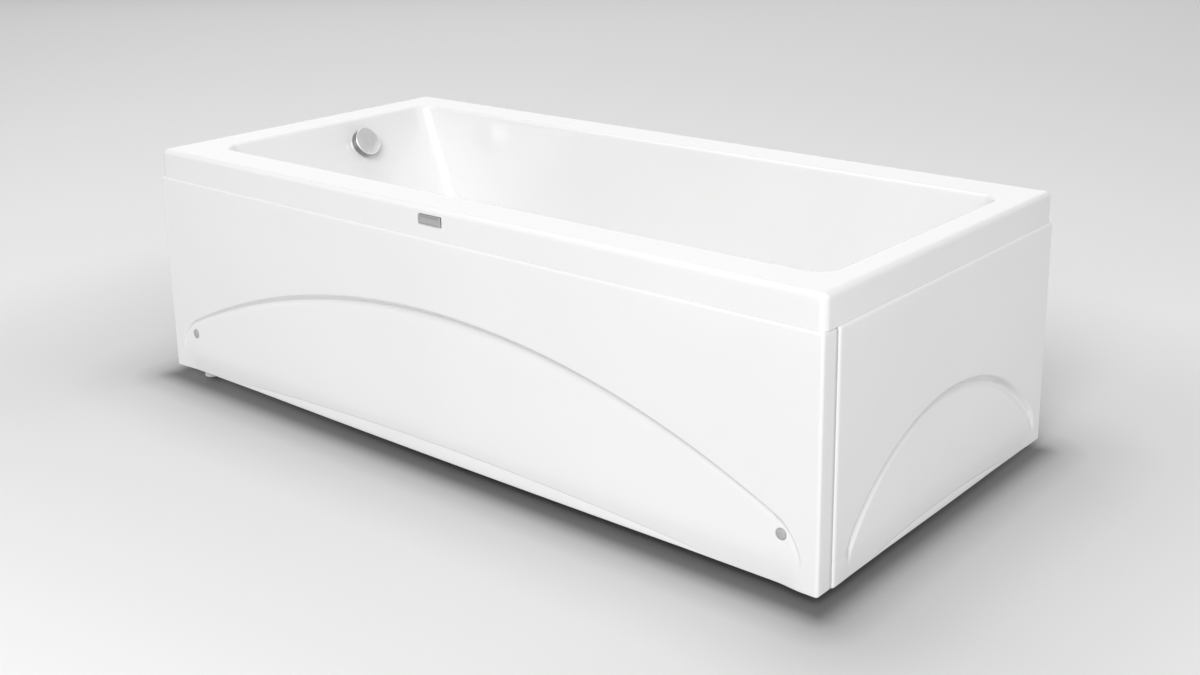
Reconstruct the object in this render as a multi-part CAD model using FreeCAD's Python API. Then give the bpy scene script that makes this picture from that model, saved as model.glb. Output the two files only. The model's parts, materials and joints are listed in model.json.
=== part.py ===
import FreeCAD, Part
import math
import os
from FreeCAD import Matrix, Placement, Rotation, Vector

# Frame: origin on the floor under the middle of the bath, +X along the bath away
# from the overflow end, +Y towards the wall behind it, +Z up. All lengths are millimetres.

# Whole bath
bath_length = 1700.0
bath_width = 800.0
bath_height = 520.0
floor_gap = 20.0

# Shared clearances and counts
cut_overrun = 5.0
running_clearance = 0.05
seat_clearance = 0.3
match_tolerance = 0.01
full_turn_deg = 360.0
right_angle_deg = 90.0
half_share = 0.5

# Shell: acrylic sheet with its glass-fibre backing
sheet = 5.0
skirt_height = 58.0
rim_corner_radius = 14.0
rim_edge_radius = 8.0
rim_left = 100.0
rim_right = 58.0
rim_front = 95.0
rim_back = 100.0
rim_roll_radius = 9.0
basin_floor_height = 150.0
left_lean_deg = 27.0
right_lean_deg = 27.0
side_lean_deg = 7.0
mouth_corner_radius = 30.0
floor_corner_radius = 75.0
floor_fillet_radius = 45.0

# Badge plate let into the front skirt
badge_width = 58.0
badge_height = 18.0
badge_thickness = 1.5
badge_corner_radius = 2.0
badge_rise = 34.0

# Drain in the basin floor
drain_from_wall_foot = 155.0
recess_radius = 46.0
recess_depth = 6.0
drain_hole_radius = 25.0
drain_gasket_thickness = 3.0
drain_seat_radius = 35.0
drain_seat_thickness = 3.0
drain_tail_clearance = 1.0
drain_tail_length = 32.0
drain_bore_radius = 20.0
drain_mouth_radius = 28.0
drain_mouth_depth = 7.0
guide_radius = 6.0
guide_length = 8.0
guide_above_tail_end = 4.0
guide_spoke_width = 3.0
guide_spokes = 3

# Pop-up plug
plug_radius = 30.0
plug_edge_height = 2.0
plug_crown_height = 4.0
plug_stem_radius = 3.0
plug_stem_length = 46.0
plug_seal_outer = 22.0
plug_seal_inner = 12.0
plug_seal_height = 3.5
plug_boss_radius = 11.5

# Waste body under the drain
waste_radius = 34.0
waste_wall = 3.0
waste_floor_below_seat = 78.0
waste_flange_radius = 38.0
waste_flange_thickness = 5.0
waste_collar_length = 16.0
waste_thread_clearance = 0.1
waste_outlet_radius = 18.0
waste_outlet_drop = 58.0
waste_outlet_reach = 62.0
hose_inlet_drop = 31.0
hose_inlet_reach = 64.0
cable_inlet_drop = 64.0
cable_inlet_reach = 52.0

# Lift rocker inside the waste body
rocker_arm = 22.0
rocker_pin_radius = 2.0
rocker_hub_radius = 5.0
rocker_tip_radius = 4.7
rocker_width = 8.0
rocker_bar_height = 6.0
rocker_pull_arm = 17.0
rocker_lug_gap = 0.5
rocker_lug_thickness = 3.0
rocker_lug_height = 14.0
rocker_lug_reach = 5.0
rocker_pin_overhang = 1.5

# Trap beside the waste body
trap_from_drain = 120.0
trap_radius = 44.0
trap_wall = 3.0
trap_floor_height = 24.0
trap_top_height = 112.0
trap_outlet_height = 72.0
trap_outlet_radius = 20.0
trap_outlet_bore = 17.0
trap_outlet_neck = 36.0
trap_collar_radius = 24.0
trap_collar_length = 6.0
trap_outlet_reach = 50.0
trap_socket_clearance = 0.2
trap_socket_overlap = 16.0
trap_baffle_thickness = 3.0
trap_baffle_gap = 12.0
trap_lid_thickness = 4.0
trap_lid_skirt = 9.0
trap_lid_bar_width = 8.0
trap_lid_bar_height = 5.0
trap_nut_wall = 5.0
trap_nut_length = 18.0
trap_nut_lead = 5.0
nut_sides = 8

# Overflow through the left end wall; local axis looks into the basin, square to the wall
overflow_drop = 55.0
overflow_offset = 70.0
overflow_hole_radius = 26.0
overflow_flange_radius = 31.0
overflow_flange_thickness = 4.0
overflow_tail_clearance = 0.5
overflow_tail_length = 20.0
overflow_tail_bore = 21.0
overflow_hub_radius = 8.0
overflow_hub_length = 10.0
overflow_spokes = 3
overflow_spoke_width = 4.0
overflow_gasket_thickness = 3.0
overflow_gasket_outer = 36.0
overflow_body_radius = 36.0
overflow_body_depth = 44.0
overflow_body_wall = 3.0
overflow_front_thickness = 4.0
hose_outlet_behind = 32.0
hose_outlet_reach = 64.0
cable_outlet_offset = -30.0
cable_outlet_reach = 64.0
cable_spigot_radius = 5.0
cable_spigot_bore = 3.0

# Turning knob and what turns with it
knob_radius = 33.5
knob_gap = 2.0
knob_height = 22.0
knob_crown = 4.0
knob_wall = 3.0
knob_hub_radius = 8.0
spindle_radius = 4.0
spindle_in_knob = 16.0
spindle_behind = 50.0
spindle_back_gap = 2.0
drum_radius = 15.0
drum_thickness = 7.0
drum_groove_depth = 3.0
drum_groove_width = 3.0

# Ribbed overflow hose
hose_crest_radius = 16.0
hose_root_radius = 14.2
hose_cuff_radius = 15.0
hose_bore_radius = 12.5
hose_bend_radius = 118.0
hose_rib_pitch = 5.0
hose_rib_crest_share = 0.3
hose_rib_flank_share = 0.2
hose_nut_outer = 22.0
hose_nut_length = 26.0

# Bowden cable that joins the overflow knob to the waste
cable_radius = 2.5
cable_bend_radius = 150.0

# Base board and battens
board_thickness = 12.0
board_width = 400.0
board_from_drain = 60.0
board_from_right = 300.0
batten_thickness = 18.0
batten_from_skirt = 10.0
front_batten_width = 62.0
rear_batten_width = 62.0
left_batten_width = 55.0
right_batten_width = 28.0
batten_end_gap = 40.0

# Welded frame of steel tube
tube_wall = 2.0
rail_width = 25.0
rail_height = 30.0
rail_spacing = 370.0
rail_end_gap = 50.0
bar_side = 30.0
bar_end_gap = 22.0
outer_bar_inset = 75.0
middle_bar_x = -60.0
post_side = 25.0
post_inset = 65.0
end_cap_thickness = 2.0
end_cap_plug_length = 7.0
end_cap_clearance = 0.1

# Levelling legs
left_leg_inset = 38.0
inner_leg_inset = 100.0
leg_rod_radius = 6.0
leg_rod_top = 175.0
leg_socket_floor = 6.0
foot_radius = 17.0
foot_edge_height = 5.0
foot_collar_radius = 11.0
foot_cone_height = 13.0
foot_height = 16.0
nut_across_corners_radius = 10.5
weld_nut_height = 10.0
lock_nut_height = 8.0
hex_sides = 6

# Screws
frame_screw_radius = 3.0
frame_screw_head_radius = 6.5
frame_screw_head_height = 4.0
frame_screw_tip_past_bar = 8.0
board_screw_radius = 2.0
board_screw_head_radius = 4.5
board_screw_head_height = 3.0
board_screw_bite = 8.0
board_screw_place_shares = (0.1, 0.42, 0.66, 0.92)
clip_screw_radius = 2.0
clip_screw_head_radius = 4.0
clip_screw_head_height = 2.5
clip_screw_bite = 12.0
screw_hole_clearance = 0.2

# Panels: formed sheets with turned edges
panel_sheet_thickness = 4.0
panel_joint = 1.2
panel_flange = 14.0
panel_corner_return = 40.0
panel_corner_radius = 6.0
panel_edge_radius = 3.0
panel_split_gap = 1.5

# Recessed fields of the panels; heights above the panel's lower edge
field_lower_edge = 46.0
front_field_left = 40.0
front_field_right = 58.0
front_field_shoulder = 100.0
front_field_apex = 301.0
front_field_depth = 11.0
end_field_front = 80.0
end_field_back = 28.0
end_field_shoulder = 64.0
end_field_apex = 228.0
end_field_depth = 8.0
field_step_run = 10.0
strip_depth = 6.0
lip_rise = 24.0
lip_end_margin = 150.0
end_lip_margin = 70.0

# Panel fixings
panel_screw_rise = 88.0
panel_screw_radius = 2.5
panel_screw_length = 18.0
panel_screw_head_radius = 5.5
panel_screw_head_height = 2.5
cap_radius = 9.5
cap_height = 4.0
cap_wall = 1.2
cap_pocket_clearance = 1.5
cap_pocket_depth = 5.5
bracket_width = 44.0
bracket_plate = 3.0
bracket_top_above_screw = 18.0
stay_plate = 3.0
stay_width = 34.0
stay_toe = 3.0
stay_place_shares = (-0.525, 0.525)
clip_plate = 2.0
clip_length = 44.0
clip_tongue = 8.0
clip_tab = 24.0
front_clip_place_shares = (-0.753, -0.253, 0.253, 0.753)
end_clip_place_shares = (-0.425, 0.525)

# Heights and places that follow
rim_top = bath_height
deck_under = rim_top - sheet
skirt_bottom = rim_top - skirt_height
panel_top = skirt_bottom - panel_joint
panel_height = panel_top - floor_gap
half_length = bath_length * half_share
half_width = bath_width * half_share
mouth_left = rim_left - half_length
mouth_right = half_length - rim_right
mouth_front = rim_front - half_width
mouth_back = half_width - rim_back
floor_top = basin_floor_height
basin_depth = rim_top - floor_top
floor_under = floor_top - sheet
left_lean = math.radians(left_lean_deg)
right_lean = math.radians(right_lean_deg)
side_lean = math.radians(side_lean_deg)
wall_foot_x = mouth_left + basin_depth * math.tan(left_lean)
drain_x = wall_foot_x + drain_from_wall_foot
recess_top = floor_top - recess_depth
recess_under = recess_top - sheet
waste_top = recess_under - drain_gasket_thickness
waste_floor = waste_top - waste_floor_below_seat
drain_tail_radius = drain_hole_radius - drain_tail_clearance
drain_tail_end = recess_top - drain_tail_length
drain_seat_top = recess_top + drain_seat_thickness
waste_outlet_z = waste_top - waste_outlet_drop
hose_inlet_z = waste_top - hose_inlet_drop
cable_inlet_z = waste_top - cable_inlet_drop
plug_under = drain_seat_top + seat_clearance
plug_stem_end = plug_under - plug_stem_length
rocker_pivot_x = drain_x + rocker_arm
rocker_pivot_z = plug_stem_end - seat_clearance - rocker_tip_radius
trap_y = trap_from_drain
board_under = floor_under - board_thickness
board_left = drain_x + board_from_drain
board_right = half_length - board_from_right
board_length = board_right - board_left
rail_under = board_under - rail_height
bar_under = rail_under - bar_side
rail_length = bath_length - rail_end_gap - rail_end_gap
bar_length = bath_width - bar_end_gap - bar_end_gap
outer_bar_x = half_length - outer_bar_inset
bar_places = {"left": -outer_bar_x, "middle": middle_bar_x, "right": outer_bar_x}
inner_leg_y = half_width - inner_leg_inset
leg_ys = {"left": half_width - left_leg_inset, "middle": inner_leg_y, "right": inner_leg_y}
post_y = half_width - post_inset
rail_y = rail_spacing * half_share
batten_under = deck_under - batten_thickness
overflow_z = rim_top - overflow_drop
overflow_x = mouth_left + overflow_drop * math.tan(left_lean)
overflow_tail_radius = overflow_hole_radius - overflow_tail_clearance
knob_back = overflow_flange_thickness + knob_gap
spindle_back = -spindle_behind
drum_back = spindle_back + spindle_back_gap
cable_outlet_behind = -(drum_back + drum_thickness * half_share)
panel_screw_z = floor_gap + panel_screw_rise
end_panel_front = panel_corner_return + panel_split_gap - half_width


def box(x0, x1, y0, y1, z0, z1):
    """Block between two corners."""
    return Part.makeBox(x1 - x0, y1 - y0, z1 - z0, Vector(x0, y0, z0))


def rod(radius, start, end):
    """Round bar between two points."""
    return Part.makeCylinder(radius, (end - start).Length, start, end - start)


def disc(radius, z0, z1, x=0, y=0):
    """Upright cylinder between two heights."""
    return Part.makeCylinder(radius, z1 - z0, Vector(x, y, z0))


def ring(outer, inner, z0, z1, x=0, y=0):
    """Upright ring between two heights."""
    return disc(outer, z0, z1, x, y).cut(disc(inner, z0 - cut_overrun, z1 + cut_overrun, x, y))


def turned(points):
    """Solid turned about the Z axis from (radius, height) points."""
    corners = [Vector(radius, 0, height) for radius, height in points]
    face = Part.Face(Part.makePolygon(corners + corners[:1]))
    return face.revolve(Vector(0, 0, 0), Vector(0, 0, 1), full_turn_deg)


def prism(points, direction):
    """Flat polygon carried along a direction."""
    return Part.Face(Part.makePolygon(points + points[:1])).extrude(direction)


def regular_prism(sides, radius, z0, z1, x=0, y=0):
    """Upright prism with equal sides, such as a hexagon nut."""
    turns = [2 * math.pi * side / sides for side in range(sides)]
    corners = [Vector(x + radius * math.cos(turn), y + radius * math.sin(turn), z0) for turn in turns]
    return prism(corners, Vector(0, 0, z1 - z0))


def fused(shapes):
    """One clean solid from touching shapes."""
    return shapes[0].multiFuse(shapes[1:]).removeSplitter()


def group(shapes):
    """Separate solids kept together as one node."""
    return Part.makeCompound(shapes)


def rounded_outline(x0, x1, y0, y1, radius, z):
    """Level rectangle with round corners, as one closed wire."""
    bulge = radius * math.sqrt(half_share)
    corners = ((x1, y0, -1, 1), (x1, y1, -1, -1), (x0, y1, 1, -1), (x0, y0, 1, 1))
    arcs = []
    for index, (x, y, inward_x, inward_y) in enumerate(corners):
        cx, cy = x + inward_x * radius, y + inward_y * radius
        along_y = Vector(x, cy, z)
        along_x = Vector(cx, y, z)
        middle = Vector(cx - inward_x * bulge, cy - inward_y * bulge, z)
        first, last = (along_x, along_y) if index % 2 == 0 else (along_y, along_x)
        arcs.append((first, middle, last))
    edges = []
    for index, (first, middle, last) in enumerate(arcs):
        edges.append(Part.Arc(first, middle, last).toShape())
        edges.append(Part.LineSegment(last, arcs[(index + 1) % len(arcs)][0]).toShape())
    return Part.Wire(edges)


def edges_where(shape, test):
    """Edges whose every vertex passes a test on its point."""
    return [edge for edge in shape.Edges if all(test(vertex.Point) for vertex in edge.Vertexes)]


def at_height(z):
    """Test for points on one level."""
    return lambda point: abs(point.z - z) < match_tolerance


def on_upright(x, y):
    """Test for points on one upright line."""
    return lambda point: abs(point.x - x) < match_tolerance and abs(point.y - y) < match_tolerance


def basin_outline(height, skin):
    """Outline of the basin at one height, its walls moved outwards by skin."""
    drop = rim_top - height
    corner_growth = (floor_corner_radius - mouth_corner_radius) * drop / basin_depth
    return rounded_outline(
        mouth_left + drop * math.tan(left_lean) - skin / math.cos(left_lean),
        mouth_right - drop * math.tan(right_lean) + skin / math.cos(right_lean),
        mouth_front + drop * math.tan(side_lean) - skin / math.cos(side_lean),
        mouth_back - drop * math.tan(side_lean) + skin / math.cos(side_lean),
        mouth_corner_radius + corner_growth + skin, height)


def basin(top, bottom, skin):
    """Basin as a solid block with a rounded floor edge."""
    outlines = [basin_outline(bottom, skin), basin_outline(top, skin)]
    block = Part.makeLoft(outlines, True, True)
    return block.makeFillet(floor_fillet_radius + skin, edges_where(block, at_height(bottom)))


def rim_block(inset, bottom, top, edge_radius):
    """Rim as a block with rounded upper edges."""
    outline = rounded_outline(inset - half_length, half_length - inset, inset - half_width,
                              half_width - inset, rim_corner_radius - inset, bottom)
    block = Part.Face(outline).extrude(Vector(0, 0, top - bottom))
    return block.makeFillet(edge_radius, edges_where(block, at_height(top)))


def overflow_placement():
    """Local frame of the overflow: Z square to the wall into the basin, X down along the wall."""
    lean = Rotation(Vector(0, 1, 0), right_angle_deg - left_lean_deg)
    return Placement(Vector(overflow_x, overflow_offset, overflow_z), lean)


def at_overflow(shape):
    """A shape made in the overflow's local frame, put in its place."""
    placed = shape.copy()
    placed.Placement = overflow_placement().multiply(placed.Placement)
    return placed


def bath_shell():
    """Rim, skirt and basin in one sheet, with the drain recess and both holes."""
    rim = rim_block(0, skirt_bottom, rim_top, rim_edge_radius)
    under = rim_block(sheet, skirt_bottom - cut_overrun, deck_under, rim_edge_radius - sheet)
    recess = disc(recess_radius + sheet, recess_under, floor_top, drain_x)
    shell = rim.cut(under).multiFuse([basin(deck_under + sheet * half_share, floor_under, sheet), recess])
    shell = shell.cut(basin(rim_top + cut_overrun, floor_top, 0))
    shell = shell.cut(disc(recess_radius, recess_top, floor_top + cut_overrun, drain_x))
    shell = shell.cut(disc(drain_hole_radius, recess_under - cut_overrun, recess_top + cut_overrun, drain_x))
    shell = shell.cut(at_overflow(disc(overflow_hole_radius, -sheet - cut_overrun, cut_overrun)))
    shell = shell.cut(badge_block(cut_overrun)).removeSplitter()

    def on_mouth(point):
        inside_x = mouth_left - cut_overrun < point.x < mouth_right + cut_overrun
        inside_y = mouth_front - cut_overrun < point.y < mouth_back + cut_overrun
        return at_height(rim_top)(point) and inside_x and inside_y

    return shell.makeFillet(rim_roll_radius, edges_where(shell, on_mouth))


def badge_block(proud):
    """Block of the badge plate, standing proud of the skirt by a given amount."""
    half_badge = badge_width * half_share
    middle_z = skirt_bottom + badge_rise
    block = box(-half_badge, half_badge, -half_width - proud, badge_thickness - half_width,
                middle_z - badge_height * half_share, middle_z + badge_height * half_share)
    upright = [edge for edge in block.Edges if edge.BoundBox.YLength > badge_thickness * half_share]
    return block.makeFillet(badge_corner_radius, upright)


def base_board():
    """Board bonded under the flat of the basin floor."""
    half_board = board_width * half_share
    return box(board_left, board_right, -half_board, half_board, board_under, floor_under)


def battens():
    """Four battens bonded under the rim, clear of the skirt and the basin."""
    near = sheet + batten_from_skirt
    reach_x = half_length - near
    reach_y = half_width - near
    long_end = reach_x - batten_end_gap
    short_end = reach_y - front_batten_width - batten_from_skirt
    return {
        "front_batten": box(-long_end, long_end, -reach_y, front_batten_width - reach_y,
                            batten_under, deck_under),
        "rear_batten": box(-long_end, long_end, reach_y - rear_batten_width, reach_y,
                           batten_under, deck_under),
        "left_batten": box(-reach_x, left_batten_width - reach_x, -short_end, short_end,
                           batten_under, deck_under),
        "right_batten": box(reach_x - right_batten_width, reach_x, -short_end, short_end,
                            batten_under, deck_under),
    }


def tube_x(length, width, height, y, z0):
    """Rectangular tube along X, centred on the bath's length."""
    half_tube = length * half_share
    half_section = width * half_share
    outer = box(-half_tube, half_tube, y - half_section, y + half_section, z0, z0 + height)
    inner = box(-half_tube - cut_overrun, half_tube + cut_overrun, y - half_section + tube_wall,
                y + half_section - tube_wall, z0 + tube_wall, z0 + height - tube_wall)
    return outer.cut(inner)


def screw_places():
    """Places where a rail crosses a cross bar, as (x, y)."""
    return [(x, side * rail_y) for x in bar_places.values() for side in (-1, 1)]


def board_screw_places():
    """Places of the screws that hold the rails to the base board, as (x, y)."""
    return [(board_left + board_length * share, side * rail_y)
            for share in board_screw_place_shares for side in (-1, 1)]


def rail(side):
    """Long rail under the base board, drilled for its screws."""
    tube = tube_x(rail_length, rail_width, rail_height, side * rail_y, rail_under)
    hole = frame_screw_radius + screw_hole_clearance
    pilot = board_screw_radius + screw_hole_clearance
    cuts = [disc(hole, rail_under - cut_overrun, rail_under + tube_wall + cut_overrun, x, y)
            for x, y in screw_places() if y * side > 0]
    cuts += [disc(pilot, rail_under - cut_overrun, board_under + cut_overrun, x, y)
             for x, y in board_screw_places() if y * side > 0]
    return tube.cut(cuts)


def cross_bar(name):
    """Cross bar that carries the rails, two legs and, at the ends, the posts."""
    x = bar_places[name]
    leg_y = leg_ys[name]
    half_bar = bar_length * half_share
    half_side = bar_side * half_share
    outer = box(x - half_side, x + half_side, -half_bar, half_bar, bar_under, rail_under)
    inner = box(x - half_side + tube_wall, x + half_side - tube_wall, -half_bar - cut_overrun,
                half_bar + cut_overrun, bar_under + tube_wall, rail_under - tube_wall)
    low, high = bar_under - cut_overrun, rail_under + cut_overrun
    cuts = [inner]
    cuts += [disc(leg_rod_radius + running_clearance, low, high, x, side * leg_y) for side in (-1, 1)]
    hole = frame_screw_radius + screw_hole_clearance
    cuts += [disc(hole, low, high, x, side * rail_y) for side in (-1, 1)]
    return outer.cut(cuts)


def post(x, side):
    """Upright square tube from an outer cross bar to the batten under the rim."""
    half_post = post_side * half_share
    y = side * post_y
    outer = box(x - half_post, x + half_post, y - half_post, y + half_post, rail_under, batten_under)
    bore = half_post - tube_wall
    inner = box(x - bore, x + bore, y - bore, y + bore, rail_under - cut_overrun, batten_under + cut_overrun)
    return outer.cut(inner)


def end_cap(outer_half_a, outer_half_b, place):
    """Plastic plug in the end of a rectangular tube; local Z looks out of the tube."""
    plug_a = outer_half_a - tube_wall - end_cap_clearance
    plug_b = outer_half_b - tube_wall - end_cap_clearance
    head = box(-outer_half_a, outer_half_a, -outer_half_b, outer_half_b, 0, end_cap_thickness)
    plug = box(-plug_a, plug_a, -plug_b, plug_b, -end_cap_plug_length, 0)
    cap = fused([head, plug])
    cap.Placement = place
    return cap


def tube_end_caps():
    """End caps of the two rails and the three cross bars."""
    caps = []
    for end in (-1, 1):
        out_x = Rotation(Vector(0, 1, 0), end * right_angle_deg)
        out_y = Rotation(Vector(1, 0, 0), -end * right_angle_deg)
        for side in (-1, 1):
            centre = Vector(end * rail_length * half_share, side * rail_y,
                            rail_under + rail_height * half_share)
            caps.append(end_cap(rail_height * half_share, rail_width * half_share, Placement(centre, out_x)))
        for x in bar_places.values():
            centre = Vector(x, end * bar_length * half_share, bar_under + bar_side * half_share)
            caps.append(end_cap(bar_side * half_share, bar_side * half_share, Placement(centre, out_y)))
    return group(caps)


def frame_screws():
    """Screws from below through each cross bar into the rail above it."""
    head_under = bar_under - frame_screw_head_height
    tip = rail_under + frame_screw_tip_past_bar
    return group([fused([disc(frame_screw_head_radius, head_under, bar_under, x, y),
                         disc(frame_screw_radius, bar_under, tip, x, y)]) for x, y in screw_places()])


def board_screws():
    """Screws from below through the rails into the base board."""
    head_under = rail_under - board_screw_head_height
    return group([fused([disc(board_screw_head_radius, head_under, rail_under, x, y),
                         disc(board_screw_radius, rail_under, board_under + board_screw_bite, x, y)])
                  for x, y in board_screw_places()])


def board_with_screw_holes():
    """Base board with the holes that its screws cut."""
    low, high = board_under - cut_overrun, board_under + board_screw_bite
    return base_board().cut([disc(board_screw_radius, low, high, x, y) for x, y in board_screw_places()])


def leg_rod(x, y):
    """Threaded rod of one leg."""
    return disc(leg_rod_radius, leg_socket_floor, leg_rod_top, x, y)


def foot(x, y):
    """Plastic foot with a socket for its rod."""
    profile = [(0, 0), (foot_radius, 0), (foot_radius, foot_edge_height),
               (foot_collar_radius, foot_cone_height), (foot_collar_radius, foot_height),
               (leg_rod_radius, foot_height), (leg_rod_radius, leg_socket_floor), (0, leg_socket_floor)]
    solid = turned(profile)
    solid.translate(Vector(x, y, 0))
    return solid


def leg_nuts(z0, z1):
    """One hexagon nut on every leg between two heights."""
    nuts = []
    bore_radius = leg_rod_radius + running_clearance
    for name, x in bar_places.items():
        leg_y = leg_ys[name]
        for side in (-1, 1):
            nut = regular_prism(hex_sides, nut_across_corners_radius, z0, z1, x, side * leg_y)
            bore = disc(bore_radius, z0 - cut_overrun, z1 + cut_overrun, x, side * leg_y)
            nuts.append(nut.cut(bore))
    return group(nuts)


def field_outline(start, end, lower, shoulder, apex, depth):
    """Arched outline on a panel: level lower edge, short upright ends and one arc over the top."""
    low_start, low_end = Vector(start, depth, lower), Vector(end, depth, lower)
    high_start, high_end = Vector(start, depth, shoulder), Vector(end, depth, shoulder)
    crown = Vector((start + end) * half_share, depth, apex)
    return Part.Wire([Part.LineSegment(low_start, low_end).toShape(),
                      Part.LineSegment(low_end, high_end).toShape(),
                      Part.Arc(high_end, crown, high_start).toShape(),
                      Part.LineSegment(high_start, low_start).toShape()])


def field_block(start, end, shoulder, apex, depth, skin):
    """Space of the arched field, grown by skin: a sloped floor inside a slanted step."""
    lower = field_lower_edge - cut_overrun
    wide = field_outline(start - skin, end + skin, lower, shoulder, apex + skin, -cut_overrun)
    face = field_outline(start - skin, end + skin, lower, shoulder, apex + skin, 0)
    back = depth + skin + cut_overrun
    run = field_step_run * back / depth
    deep = field_outline(start - skin + run, end + skin - run, lower, shoulder, apex + skin - run, back)
    step = Part.makeLoft([wide, face, deep], True, True)
    slope = depth / (apex - field_lower_edge)
    top = apex + skin + cut_overrun
    wedge_start = start - skin - cut_overrun
    wedge_end = end + skin + cut_overrun
    wedge = prism([Vector(wedge_start, -cut_overrun, field_lower_edge),
                   Vector(wedge_start, skin, field_lower_edge),
                   Vector(wedge_start, skin + slope * (top - field_lower_edge), top),
                   Vector(wedge_start, -cut_overrun, top)],
                  Vector(wedge_end - wedge_start, 0, 0))
    return step.common(wedge)


def strip_block(start, end, lip_start, lip_end, skin):
    """Space under the field where the sheet slopes in towards its lower edge, less the raised lip."""
    bottom = -cut_overrun
    back = skin + strip_depth / field_lower_edge * (field_lower_edge - bottom)
    wedge = prism([Vector(start - skin, -cut_overrun, field_lower_edge),
                   Vector(start - skin, skin, field_lower_edge),
                   Vector(start - skin, back, bottom),
                   Vector(start - skin, -cut_overrun, bottom)],
                  Vector(end - start + skin + skin, 0, 0))
    crown = Vector((lip_start + lip_end) * half_share, bottom, lip_rise - skin)
    low_start, low_end = Vector(lip_start, bottom, bottom), Vector(lip_end, bottom, bottom)
    lip = Part.Face(Part.Wire([Part.Arc(low_start, crown, low_end).toShape(),
                               Part.LineSegment(low_end, low_start).toShape()]))
    return wedge.cut(lip.extrude(Vector(0, back + cut_overrun + cut_overrun, 0)))


def panel_tray(start, end, end_return):
    """Flat sheet with its four edges turned back; the far upright edge may turn back further."""
    depth = max(panel_flange, end_return)
    radius = panel_corner_radius if end_return > panel_flange else panel_edge_radius
    outer = box(start, end, 0, depth, 0, panel_height)
    outer = outer.makeFillet(radius, edges_where(outer, on_upright(end, 0)))
    upper = [edge for edge in edges_where(outer, at_height(panel_height))
             if edge.BoundBox.YMin < radius - match_tolerance]
    outer = outer.makeFillet(panel_edge_radius, upper)
    wall = panel_sheet_thickness
    inner = box(start + wall, end - wall, wall, depth + cut_overrun, wall, panel_height - wall)
    if radius > wall:
        inner = inner.makeFillet(radius - wall, edges_where(inner, on_upright(end - wall, wall)))
    tray = outer.cut(inner)
    if depth > panel_flange:
        spare = box(start - cut_overrun, end - radius, panel_flange, depth + cut_overrun,
                    -cut_overrun, panel_height + cut_overrun)
        tray = tray.cut(spare)
    return tray


def formed_panel(start, end, end_return, field, lip_margin):
    """Panel sheet with its arched field and lower strip pressed in, in the panel's own frame."""
    field_start, field_end, shoulder, apex, depth = field
    lip = (start + lip_margin, end - lip_margin)
    wall = panel_sheet_thickness
    backing = field_block(field_start, field_end, shoulder, apex, depth, wall)
    strip_back = strip_block(field_start, field_end, lip[0], lip[1], wall)
    inside = box(start, end, 0, panel_corner_return, 0, panel_height)
    sheet_solid = panel_tray(start, end, end_return)
    sheet_solid = sheet_solid.multiFuse([backing.common(inside), strip_back.common(inside)])
    sheet_solid = sheet_solid.cut(field_block(field_start, field_end, shoulder, apex, depth, 0))
    return sheet_solid.cut(strip_block(field_start, field_end, lip[0], lip[1], 0))


def front_place(shape):
    """A shape from the front panel's own frame, put in its place."""
    shape.translate(Vector(0, -half_width, floor_gap))
    return shape


def end_place(shape):
    """A shape from the end panel's own frame, put in its place."""
    shape.rotate(Vector(0, 0, 0), Vector(0, 0, 1), right_angle_deg)
    shape.translate(Vector(half_length, 0, floor_gap))
    return shape


def panel_screw_places():
    """Places of the two front panel screws along the bath, in line with the outer cross bars."""
    return [side * outer_bar_x for side in (-1, 1)]


def front_panel():
    """Front panel with its pockets for the screw caps."""
    field = (front_field_left - half_length, half_length - front_field_right,
             front_field_shoulder, front_field_apex, front_field_depth)
    panel = formed_panel(-half_length, half_length, panel_corner_return, field, lip_end_margin)
    pocket = cap_radius + cap_pocket_clearance
    inward = Vector(0, 1, 0)
    for x in panel_screw_places():
        axis = Vector(x, 0, panel_screw_rise)
        boss = rod(pocket + panel_sheet_thickness, axis + inward * panel_sheet_thickness * half_share,
                   axis + inward * (cap_pocket_depth + panel_sheet_thickness))
        hollow = rod(pocket, axis - inward * cut_overrun, axis + inward * cap_pocket_depth)
        hole = rod(panel_screw_radius + screw_hole_clearance, axis,
                   axis + inward * (cap_pocket_depth + panel_sheet_thickness + cut_overrun))
        panel = panel.fuse(boss).cut([hollow, hole])
    return front_place(panel.removeSplitter())


def end_panel():
    """End panel that closes the end away from the overflow."""
    field = (end_field_front - half_width, half_width - end_field_back,
             end_field_shoulder, end_field_apex, end_field_depth)
    panel = formed_panel(end_panel_front, half_width, panel_flange, field, end_lip_margin)
    return end_place(panel.removeSplitter())


def panel_screws():
    """Screws that hold the front panel's lower corners to their brackets."""
    inward = Vector(0, 1, 0)
    screws = []
    for x in panel_screw_places():
        seat = Vector(x, cap_pocket_depth - half_width, panel_screw_z)
        head = rod(panel_screw_head_radius, seat - inward * panel_screw_head_height, seat)
        shank = rod(panel_screw_radius, seat, seat + inward * panel_screw_length)
        screws.append(fused([head, shank]))
    return group(screws)


def screw_caps():
    """Domed caps over the panel screws, seated in the panel's pockets."""
    caps = []
    half_cap = cap_height * half_share
    bore = cap_radius - cap_wall
    for x in panel_screw_places():
        profile = [(bore, 0), (cap_radius, 0), (cap_radius, half_cap), (bore, cap_height), (0, cap_height),
                   (0, cap_height - cap_wall), (bore, cap_height - cap_wall)]
        cap = turned(profile)
        cap.rotate(Vector(0, 0, 0), Vector(1, 0, 0), right_angle_deg)
        cap.translate(Vector(x, cap_pocket_depth - half_width, panel_screw_z))
        caps.append(cap)
    return group(caps)


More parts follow.
